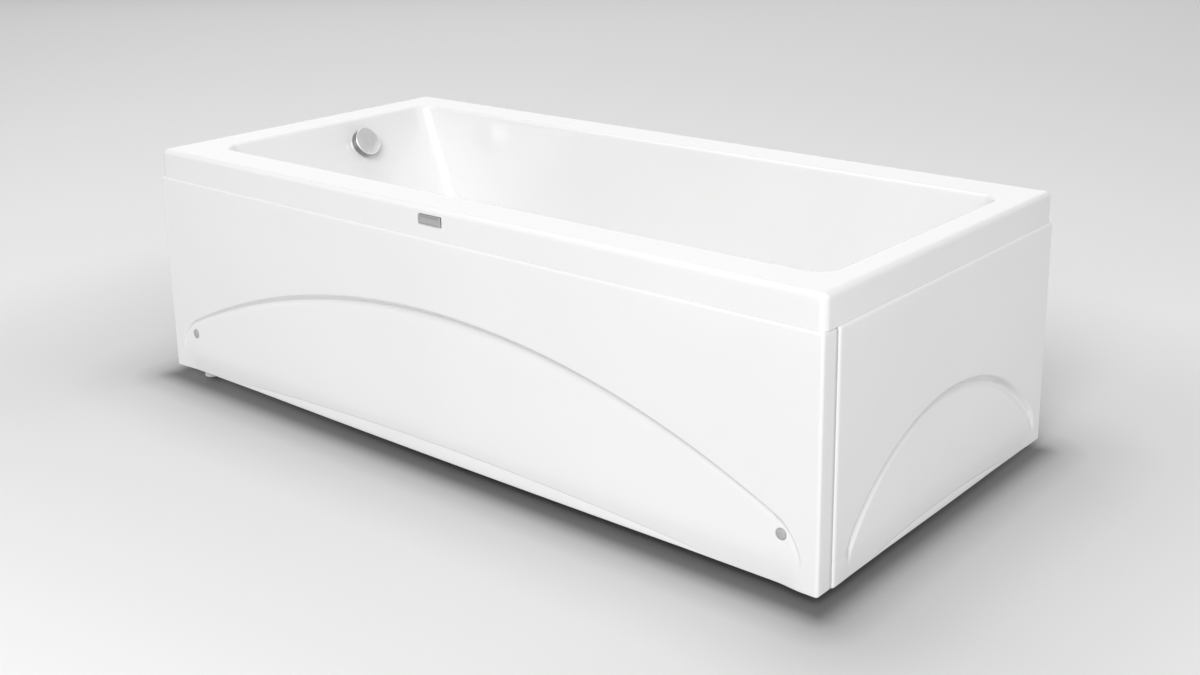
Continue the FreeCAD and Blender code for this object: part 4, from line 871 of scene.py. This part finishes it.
def cap_pocket(outer, faces, centre, field, lip_ends, first_point):
    """Round pocket for a screw cap, let into a window of the showing grid. The window's faces go out and
    rings take their place: from the window's border to the pocket's edge along the relief, round the
    edge, down its wall and over its floor to the middle. Returns the faces kept, and the pocket's
    points and faces."""
    rows, columns = outer.shape[:2]
    x, z = outer[rows // 2, :, 0], outer[..., 2]
    window = pocket_radius * pocket_window_share
    left = np.searchsorted(x, centre[0] - window) - 1
    right = np.searchsorted(x, centre[0] + window)
    beside = z[:, left:right + 1]
    low = np.searchsorted(beside.max(axis=1), centre[1] - window) - 1
    high = np.searchsorted(beside.min(axis=1), centre[1] + pocket_radius * pocket_window_top_share)
    row, column = faces[:, 0] // columns, faces[:, 0] % columns
    showing = np.arange(len(faces)) < (rows - 1) * columns
    inside = (row >= low) & (row < high) & (column >= left) & (column < right) & showing
    across_row, up_column = np.arange(left, right), np.arange(low, high)
    border = np.concatenate([low * columns + across_row, up_column * columns + right,
                             high * columns + across_row[::-1] + 1,
                             up_column[::-1] * columns + columns + left])
    spokes = outer.reshape(-1, 3)[border][:, [0, 2]] - centre
    reach = np.linalg.norm(spokes, axis=1)
    spokes = spokes / reach[:, None]
    level = np.ones_like(reach)[None]
    mix = pocket_ring_shares[:, None]
    turn = arc_shares(5)[1:, None] * math.pi / 2
    floor_radii = pocket_radius * np.array([1.0, pocket_floor_share, 0.0])[:, None]
    floor_sinks = pocket_depth * np.array([pocket_floor_share, 1.0, 1.0])[:, None]
    radii = np.concatenate([reach[None] * (1 - mix) + (pocket_radius + pocket_edge_radius) * mix,
                            (pocket_radius + pocket_edge_radius * (1 - np.sin(turn))) * level,
                            floor_radii * level])
    sinks = np.concatenate([0.0 * mix * level, pocket_edge_radius * (1 - np.cos(turn)) * level,
                            floor_sinks * level])
    ring_x = centre[0] + spokes[None, :, 0] * radii
    ring_z = centre[1] + spokes[None, :, 1] * radii
    arch = arch_height(ring_x, field)
    lip = lip_height(ring_x, lip_ends, field.lip_rise)
    on_relief = relief(ring_x, ring_z, arch, lip, field) + sinks
    ring_y = np.where(sinks > pocket_edge_radius, sinks, on_relief)
    points = np.stack([ring_x, ring_y, ring_z], -1)
    count = len(border)
    added = first_point + np.arange(points.shape[0] * count).reshape(-1, count)
    indices = np.concatenate([border[None], added])
    ring = grid_faces(indices.shape[0], count, False, True)
    return faces[~inside], points.reshape(-1, 3), indices.reshape(-1)[ring]


def front_panel():
    """Front panel with its return at the right corner and a pocket for each screw cap."""
    end = half_length - return_setback
    lip_ends = (front_field.lip_margin - half_length, end - front_field.lip_margin)
    outer, inner = panel_faces(-half_length, end, front_field, lip_ends, corner_return + return_tuck,
                               corner_radius)
    points = np.concatenate([outer, inner[::-1]]).reshape(-1, 3)
    faces = sheet_faces(*outer.shape[:2])
    for place in cap_places:
        centre = np.array([place, cap_rise])
        faces, extra, pocket = cap_pocket(outer, faces, centre, front_field, lip_ends, len(points))
        points = np.concatenate([points, extra])
        faces = np.concatenate([faces, pocket])
    points = points + np.array([0.0, -half_width, panel_bottom])
    surface("front_panel_sheet", points, faces, "white_acrylic", "bath", ["front_panel"])


def end_panel():
    """Right end panel: the same sheet along Y, its face turned to +X."""
    lip_ends = (end_panel_start + end_field.lip_margin, half_width - end_field.lip_margin)
    outer, inner = panel_faces(end_panel_start, half_width, end_field, lip_ends, panel_flange,
                               panel_edge_radius)
    points = np.concatenate([outer, inner[::-1]])
    points = np.stack([half_length - points[..., 1], points[..., 0], points[..., 2] + panel_bottom], -1)
    faces = sheet_faces(*outer.shape[:2])
    surface("end_panel_sheet", points, faces, "white_acrylic", "bath", ["end_panel"])


front_panel()
end_panel()


# Turned pieces

def rounded_line(points, radii, steps=6):
    """Polyline with each inner corner replaced by an arc of the given radius, tangent to both runs."""
    points = np.array(points, dtype=float)
    out = [points[:1]]
    for before, corner, after, radius in zip(points[:-2], points[1:-1], points[2:], radii):
        first, second = unit(before - corner), unit(after - corner)
        half = math.acos(np.clip(first @ second, -1.0, 1.0)) / 2
        tangent = radius / math.tan(half)
        centre = corner + unit(first + second) * radius / math.sin(half)
        start, end = corner + first * tangent - centre, corner + second * tangent - centre
        sweep = math.pi - 2 * half
        share = arc_shares(steps)[:, None]
        arc = start * np.sin((1 - share) * sweep) + end * np.sin(share * sweep)
        out.append(centre + arc / math.sin(sweep))
    return np.concatenate(out + [points[-1:]])


def turned_piece(name, profile, origin, axes, finish, body, nodes, segments=96):
    """Turned solid from a profile of (radius, height) that goes up outside, carried round an axis:
    x = r cos, y = r sin, z = height, then placed on three axes."""
    angle = np.arange(segments) * 2 * math.pi / segments
    radius, height = profile[:, 0][:, None], profile[:, 1][:, None]
    local = np.stack([radius * np.cos(angle), radius * np.sin(angle), height * np.ones_like(angle)], -1)
    faces = grid_faces(len(profile), segments, False, True)
    surface(name, origin + local @ axes, faces, finish, body, nodes)


upright_axes = np.eye(3)
front_axes = np.array([[1.0, 0.0, 0.0], [0.0, 0.0, 1.0], [0.0, -1.0, 0.0]])


def overflow_knob():
    """Hollow knob whose face is a shallow dome, part of a sphere."""
    turn = (1.0 - arc_shares(13)) * math.asin(knob_dome_reach / knob_dome_radius)
    fall = knob_dome_radius * (1.0 - np.cos(turn))
    dome = np.stack([knob_dome_radius * np.sin(turn), knob_crown - fall], -1)
    line = rounded_line([(0.0, knob_web), (knob_bore_radius, knob_web), (knob_bore_radius, knob_low),
                         (knob_radius, knob_low), (knob_radius, knob_edge), tuple(dome[0])], knob_rounds)
    turned_piece("overflow_knob_cap", np.concatenate([line, dome[1:]]), overflow_origin, overflow_axes,
                 "knob_chrome", "knob", ["overflow_knob"])


def drain_stopper():
    """Domed plug with its boss and stem."""
    top = plug_high[2]
    under = top - plug_cover
    boss = under - plug_boss_depth
    radius = (plug_high[0] - plug_low[0]) / 2
    line = rounded_line([(0.0, plug_low[2]), (plug_stem_radius, plug_low[2]), (plug_stem_radius, boss),
                         (plug_boss_radius, boss), (plug_boss_radius, under), (radius, under),
                         (radius, under + plug_side), (radius * plug_crown_share, top - plug_crown_fall),
                         (0.0, top)], plug_rounds)
    turned_piece("pop_up_plug", line, np.append(drain_centre, 0.0), upright_axes,
                 "chrome", "plug", ["drain_plug"])


def levelling_leg(name):
    """Foot with a rounded base, a cone and a collar, and its rod. The rod's thread is a ridge that climbs
    one pitch each turn: radius = outer less depth times a triangle wave of (height / pitch less
    angle / turn)."""
    body = name + "_leg"
    low, high = np.array(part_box(name + "_foot"))
    centre = (low + high) / 2 * np.array([1.0, 1.0, 0.0])
    base, top = (high[0] - low[0]) / 2, high[2]
    line = rounded_line([(0.0, 0.0), (base, 0.0), (base, foot_edge), (foot_collar_radius, foot_cone_top),
                         (foot_collar_radius, top), (foot_socket_radius, top),
                         (foot_socket_radius, foot_edge), (0.0, foot_edge)], foot_rounds)
    turned_piece(name + "_levelling_foot", line, centre, upright_axes, "foot_plastic", body,
                 [name + "_foot"])
    low, high = np.array(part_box(name + "_leg_rod"))
    outer = (high[0] - low[0]) / 2
    height = np.arange(low[2] + thread_end, high[2] - thread_end, thread_pitch / thread_rows)[:, None]
    angle = np.arange(thread_segments)[None] * 2 * math.pi / thread_segments
    phase = (height / thread_pitch - angle / (2 * math.pi)) % 1.0
    ridge = outer - thread_depth * np.abs(2.0 * phase - 1.0)
    tip, edge = np.zeros_like(angle), np.full_like(angle, outer - thread_depth)
    radius = np.concatenate([tip, edge, ridge, edge, tip])
    height = np.concatenate([[[low[2]]] * 2, height, [[high[2]]] * 2]) * np.ones_like(angle)
    points = np.stack([centre[0] + radius * np.cos(angle), centre[1] + radius * np.sin(angle), height], -1)
    surface(name + "_threaded_rod", points, grid_faces(points.shape[0], thread_segments, False, True),
            "zinc_steel", body, [name + "_leg_rod"])


overflow_knob()
drain_stopper()
for bar in ("left", "middle", "right"):
    for side in ("front", "rear"):
        levelling_leg(bar + "_" + side)


# Frame tubes, board and battens

def section_loop(half_a, half_b, radius, steps=5):
    """Rounded rectangle about the origin as an array of (a, b)."""
    angle = (np.arange(4)[:, None] + arc_shares(steps)[None]) * math.pi / 2
    centre_a = np.array([1.0, -1.0, -1.0, 1.0])[:, None] * (half_a - radius)
    centre_b = np.array([1.0, 1.0, -1.0, -1.0])[:, None] * (half_b - radius)
    a, b = centre_a + radius * np.cos(angle), centre_b + radius * np.sin(angle)
    return np.stack([a, b], -1).reshape(-1, 2)


def bar_box(node, axis):
    """Start and end of a bar along its axis, and the middle and the half sizes of its section."""
    low, high = np.array(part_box(node))
    sides = [(axis + 1) % 3, (axis + 2) % 3]
    return low[axis], high[axis], ((low + high) / 2)[sides], ((high - low) / 2)[sides]


def on_axis(sections, places, axis):
    """Sections carried to places along one of the frame's axes, keeping a right-handed order."""
    points = np.zeros(sections.shape[:2] + (3,))
    points[..., axis] = places[:, None]
    points[..., (axis + 1) % 3] = sections[..., 0]
    points[..., (axis + 2) % 3] = sections[..., 1]
    return points


def steel_tube(node, axis):
    """Rectangular tube with rounded edges, filling its node's box: outer skin along the axis, then the bore
    back again."""
    start, end, middle, half = bar_box(node, axis)
    outer = section_loop(*half, tube_corner_radius)
    slim = section_loop(*(half - tube_end_inset), tube_corner_radius - tube_end_inset)
    inner = section_loop(*(half - tube_wall), tube_bore_radius)
    places = np.array([start, start + tube_end_run, end - tube_end_run, end])
    skins = np.stack([slim, outer, outer, slim]) + middle
    bores = np.stack([inner] * 4) + middle
    points = np.concatenate([on_axis(skins, places, axis), on_axis(bores, places[::-1], axis)])
    faces = grid_faces(points.shape[0], points.shape[1], True, True)
    surface(node + "_tube", points, faces, "frame_paint", "bath", [node])


def sawn_block(node, axis, finish, edge):
    """Sawn board or batten with slightly broken edges: a rounded section along its axis, closed by flat
    ends."""
    start, end, middle, half = bar_box(node, axis)
    turn = arc_shares(4) * math.pi / 2
    insets, rises = edge * (1 - np.sin(turn)), edge * (1 - np.cos(turn))
    sections = np.stack([section_loop(*(half - inset), edge * sawn_corner_share, 4)
                         for inset in (*insets, *insets[::-1])])
    places = np.concatenate([start + rises, end - rises[::-1]])
    points = on_axis(sections + middle, places, axis)
    capped_piece(node + "_sawn", points, finish, node)


for axis, nodes in enumerate(frame_tubes):
    for node in nodes:
        steel_tube(node, axis)
for node, (axis, finish, edge) in sawn_pieces.items():
    sawn_block(node, axis, finish, edge)


# Overflow hose and cable

def held_route(start_local, level_height, reach):
    """The few points that a hose or cable held between the overflow and the drain runs by: its start, a
    point on the drop, the corner at the foot of the wall and its end beside the drain. The point on the
    drop is as far from the corner as the end is."""
    start = overflow_origin + np.array(start_local) @ overflow_axes
    corner = start + wall_down * ((level_height - start[2]) / wall_down[2])
    end = np.append(drain_centre + unit(corner[:2] - drain_centre) * reach, level_height)
    return np.array([start, corner - wall_down * np.linalg.norm(end - corner), corner, end])


def smooth_line(route, step):
    """A route's smooth NURBS line, read back as points at even steps of length. Returns the points, the
    directions along them, the direction across the route's plane and each point's place along the line."""
    curve = bpy.data.curves.new("route", "CURVE")
    curve.dimensions = "3D"
    spline = curve.splines.new("NURBS")
    spline.points.add(len(route) - 1)
    spline.points.foreach_set("co", np.column_stack([route, np.ones(len(route))]).ravel())
    spline.order_u = 3
    spline.use_endpoint_u = True
    spline.resolution_u = 64
    holder = bpy.data.objects.new("route", curve)
    mesh = bpy.data.meshes.new_from_object(holder)
    line = np.empty(len(mesh.vertices) * 3)
    mesh.vertices.foreach_get("co", line)
    line = line.reshape(-1, 3)
    bpy.data.meshes.remove(mesh)
    bpy.data.objects.remove(holder)
    bpy.data.curves.remove(curve)
    lengths = np.concatenate([[0.0], np.cumsum(np.linalg.norm(np.diff(line, axis=0), axis=1))])
    place = np.linspace(0.0, lengths[-1], int(lengths[-1] / step) + 1)
    points = np.stack([np.interp(place, lengths, line[:, k]) for k in range(3)], -1)
    along = np.gradient(points, axis=0)
    along /= np.linalg.norm(along, axis=1, keepdims=True)
    return points, along, unit(np.cross(along[0], along[-1])), place


def route_skin(points, along, plane, radii, segments):
    """Rings of given radii square to a route."""
    angle = np.arange(segments) * 2 * math.pi / segments
    up = np.cross(along, plane)
    spokes = np.cos(angle)[None, :, None] * up[:, None] + np.sin(angle)[None, :, None] * plane[None, None]
    return points[:, None] + radii[:, None, None] * spokes


def overflow_hose():
    """Ribbed hose: its radius swells and falls once each pitch along the route, between two plain cuffs."""
    points, along, plane, place = smooth_line(held_route(hose_start, hose_level, hose_reach), hose_step)
    ribbed_length = place[-1] - 2 * hose_cuff
    pitch = ribbed_length / round(ribbed_length / hose_pitch)
    swell = 0.5 - 0.5 * np.cos(2 * math.pi * (place - hose_cuff) / pitch)
    ribbed = hose_root + (hose_crest - hose_root) * swell ** hose_swell_power
    plain = (place < hose_cuff) | (place > place[-1] - hose_cuff)
    outer = route_skin(points, along, plane, np.where(plain, hose_cuff_radius, ribbed), hose_segments)
    bore = route_skin(points, along, plane, np.full_like(place, hose_bore), hose_segments)
    loops = np.concatenate([outer, bore[::-hose_bore_stride]])
    faces = grid_faces(loops.shape[0], hose_segments, True, True)
    surface("ribbed_overflow_hose", loops, faces, "hose_plastic", "bath", ["overflow_hose"])


def bowden_cable():
    """Plain round cable sheath along its own route, closed to a point at both ends."""
    points, along, plane, place = smooth_line(held_route(cable_start, cable_level, cable_reach), cable_step)
    outer = route_skin(points, along, plane, np.full_like(place, cable_radius), cable_segments)
    tips = np.repeat(points[[0, -1], None], cable_segments, axis=1)
    loops = np.concatenate([tips[:1], outer, tips[1:]])
    faces = grid_faces(loops.shape[0], cable_segments, False, True)
    surface("cable_sheath", loops, faces, "black_plastic", "bath", ["bowden_cable"])


overflow_hose()
bowden_cable()


# Trim of the front

def badge_plate():
    """Plain plate with rounded corners, a rolled edge and a shallow line round its face."""
    low, high = np.array(plate_low), np.array(plate_high) + np.array([0.0, skirt_setback[0], 0.0])
    middle, half = (low + high) / 2, (high - low) / 2
    turn = arc_shares(5) * math.pi / 2
    insets = np.concatenate([[0.0], plate_edge * (1 - np.cos(turn)), plate_line_insets])
    depths = np.concatenate([plate_edge * (1 - np.sin(turn)), plate_line_depths])
    fronts = np.concatenate([[high[1]], low[1] + depths])
    corners = np.maximum(plate_corner_radius - insets * plate_corner_share, plate_least_corner)
    loops = np.stack([section_loop(half[0] - inset, half[2] - inset, corner, 6)
                      for inset, corner in zip(insets, corners)])
    points = np.stack([loops[..., 0] + middle[0], np.broadcast_to(fronts[:, None], loops.shape[:2]),
                       loops[..., 1] + middle[2]], -1)
    capped_piece("badge_plate_blank", points, "brushed_plate", "badge_plate", True, True)


def screw_cap(name, place):
    """Shallow domed cap in its pocket: short side, rounded shoulder and a crown."""
    centre = np.array([place, caps_high[1], cap_rise + panel_bottom])
    line = rounded_line([(0.0, 0.0), (cap_radius, 0.0), (cap_radius, cap_side),
                         (cap_radius * cap_crown_share, cap_shoulder), (0.0, cap_crown)], cap_rounds)
    turned_piece(name, line, centre, front_axes, "grey_plastic", "bath", ["screw_caps"], 48)


badge_plate()
for name, place in zip(("left_screw_cap", "right_screw_cap"), cap_places):
    screw_cap(name, place)

# Carried-over nodes take their finishes by slot, the board and battens by grain
node_finishes = {row["node"]: row["material_slot"] for row in frame["record"]["subparts"]}
node_finishes.update({node: finish for node, (axis, finish, edge) in sawn_pieces.items()})
for node, item in frame["nodes"].items():
    item.data.materials.clear()
    item.data.materials.append(finishes[node_finishes[node]])


# Stage, lights and camera

def stage_floor():
    """Pale floor with a painted shadow. Its tone, darkest at the bath as a painted contact shadow, grows
    with the distance from the bath's footprint, taken as the length of what is left of a point's place once
    half the bath's sides are taken off, and falls again far in front, under the lamp, as painted shade. The
    light that it sends back to the bath is that of one even grey."""
    mesh = bpy.data.meshes.new("floor")
    corners = [(-floor_reach, -floor_reach, 0), (floor_reach, -floor_reach, 0),
               (floor_reach, floor_reach, 0), (-floor_reach, floor_reach, 0)]
    mesh.from_pydata(corners, [], [(0, 1, 2, 3)])
    floor = bpy.data.objects.new("floor", mesh)
    bpy.context.scene.collection.objects.link(floor)
    material, shader = new_material("pale_floor_painted_shadow")
    nodes, links = material.node_tree.nodes, material.node_tree.links
    place = nodes.new("ShaderNodeTexCoord").outputs["Object"]
    sides = nodes.new("ShaderNodeSeparateXYZ")
    links.new(place, sides.inputs["Vector"])
    # Painted shade: the floor's colour is dimmed far in front, under the front lamp
    front = spread(material, sides.outputs["Y"], floor_front_painted_shade_share, 1.0, floor_front_painted_shade_end, floor_front_painted_shade_start)
    steps = (("SUBTRACT", floor_painted_shadow_middle), ("ABSOLUTE", None),
             ("SUBTRACT", (half_length, half_width, 0.0)), ("MAXIMUM", (0.0, 0.0, 0.0)), ("LENGTH", None))
    for operation, value in steps:
        step = nodes.new("ShaderNodeVectorMath")
        step.operation = operation
        links.new(place, step.inputs[0])
        if value:
            step.inputs[1].default_value = value
        place = step.outputs["Value" if operation == "LENGTH" else "Vector"]
    # Painted contact shadow: the floor's colour is darkest at the bath's footprint and pales away from it
    ramp = nodes.new("ShaderNodeValToRGB")
    ramp.color_ramp.interpolation = "B_SPLINE"
    while len(ramp.color_ramp.elements) < len(floor_painted_shadow_tones):
        ramp.color_ramp.elements.new(0.5)
    for element, (distance, tone) in zip(ramp.color_ramp.elements, floor_painted_shadow_tones):
        element.position = distance
        element.color = (tone, tone, tone, 1.0)
    links.new(place, ramp.inputs["Fac"])
    painted_floor_shade = nodes.new("ShaderNodeVectorMath")
    painted_floor_shade.operation = "SCALE"
    links.new(ramp.outputs["Color"], painted_floor_shade.inputs[0])
    links.new(front, painted_floor_shade.inputs["Scale"])
    even = nodes.new("ShaderNodeMix")
    even.data_type = "RGBA"
    even.inputs["B"].default_value = (floor_bounce, floor_bounce, floor_bounce, 1.0)
    links.new(nodes.new("ShaderNodeLightPath").outputs["Is Diffuse Ray"], even.inputs["Factor"])
    links.new(painted_floor_shade.outputs["Vector"], even.inputs["A"])
    links.new(even.outputs["Result"], shader.inputs["Base Color"])
    shader.inputs["Roughness"].default_value = 0.6
    shader.inputs["Specular IOR Level"].default_value = 0.2
    mesh.materials.append(material)


def frame_matrix(side, up, back, place):
    """Matrix whose columns are three directions and a place."""
    return Matrix(np.vstack([np.column_stack([side, up, back, place]), [0.0, 0.0, 0.0, 1.0]]).tolist())


def area_light(name, place, aim, size, power):
    """Large soft lamp that looks from a place towards a point and stays out of the picture."""
    lamp = bpy.data.lights.new(name, "AREA")
    lamp.shape = "RECTANGLE"
    lamp.size, lamp.size_y = size
    lamp.energy = power
    item = bpy.data.objects.new(name, lamp)
    item.visible_camera = False
    back = unit(np.array(place) - np.array(aim))
    side = unit(np.cross((0.0, 0.0, 1.0), back))
    item.matrix_world = frame_matrix(side, np.cross(back, side), back, place)
    bpy.context.scene.collection.objects.link(item)


def studio_world():
    """Even grey surround, paler where it is seen, mirrored or looked at through glass than where it lights
    the bath."""
    world = bpy.data.worlds.new("studio")
    bpy.context.scene.world = world
    world.use_nodes = True
    nodes, links = world.node_tree.nodes, world.node_tree.links
    rays = nodes.new("ShaderNodeLightPath").outputs
    seen = rays["Is Camera Ray"]
    for kind in ("Is Glossy Ray", "Is Transmission Ray"):
        either = nodes.new("ShaderNodeMath")
        either.operation = "MAXIMUM"
        links.new(seen, either.inputs[0])
        links.new(rays[kind], either.inputs[1])
        seen = either.outputs["Value"]
    background = nodes["Background"]
    background.inputs["Color"].default_value = (1.0, 1.0, 1.0, 1.0)
    links.new(spread(world, seen, surround_light, surround_seen, 0.0, 1.0), background.inputs["Strength"])


def photo_camera():
    """Camera at the photograph's viewing angle: yaw, pitch and roll, with its axis raised in the frame."""
    level = np.array([-math.sin(camera_yaw), math.cos(camera_yaw), 0.0])
    right = np.array([math.cos(camera_yaw), math.sin(camera_yaw), 0.0])
    up = np.array([0.0, 0.0, 1.0])
    forward = level * math.cos(camera_pitch) - up * math.sin(camera_pitch)
    lift = up * math.cos(camera_pitch) + level * math.sin(camera_pitch)
    turned_right = right * math.cos(camera_roll) + lift * math.sin(camera_roll)
    turned_up = lift * math.cos(camera_roll) - right * math.sin(camera_roll)
    place = camera_shares * 2 * half_length + np.array([-half_length, -half_width, panel_bottom])
    camera = bpy.data.cameras.new("camera")
    camera.sensor_width = sensor_width
    camera.lens = camera_focal_px / image_width * sensor_width
    camera.shift_y = (camera_axis_row - image_height / 2) / image_width
    item = bpy.data.objects.new("camera", camera)
    item.matrix_world = frame_matrix(turned_right, turned_up, -forward, place)
    bpy.context.scene.collection.objects.link(item)
    bpy.context.scene.camera = item


stage_floor()
studio_world()
area_light("key", (-2.4, 0.6, 6.0), (0.0, 0.0, 0.3), (4.0, 4.0), 86.0)
area_light("front_box", (3.30, -5.57, 5.0), (0.0, 0.0, 0.3), (4.6, 4.6), 426.0)
area_light("back_cloth", (-5.0, 5.9, 3.3), (0.0, 0.0, 0.6), (12.0, 4.0), 98.0)
area_light("side_cloth", (5.6, -2.6, 3.2), (0.0, 0.0, 0.3), (5.0, 4.0), 40.0)
photo_camera()
bpy.context.scene.view_settings.view_transform = "Standard"
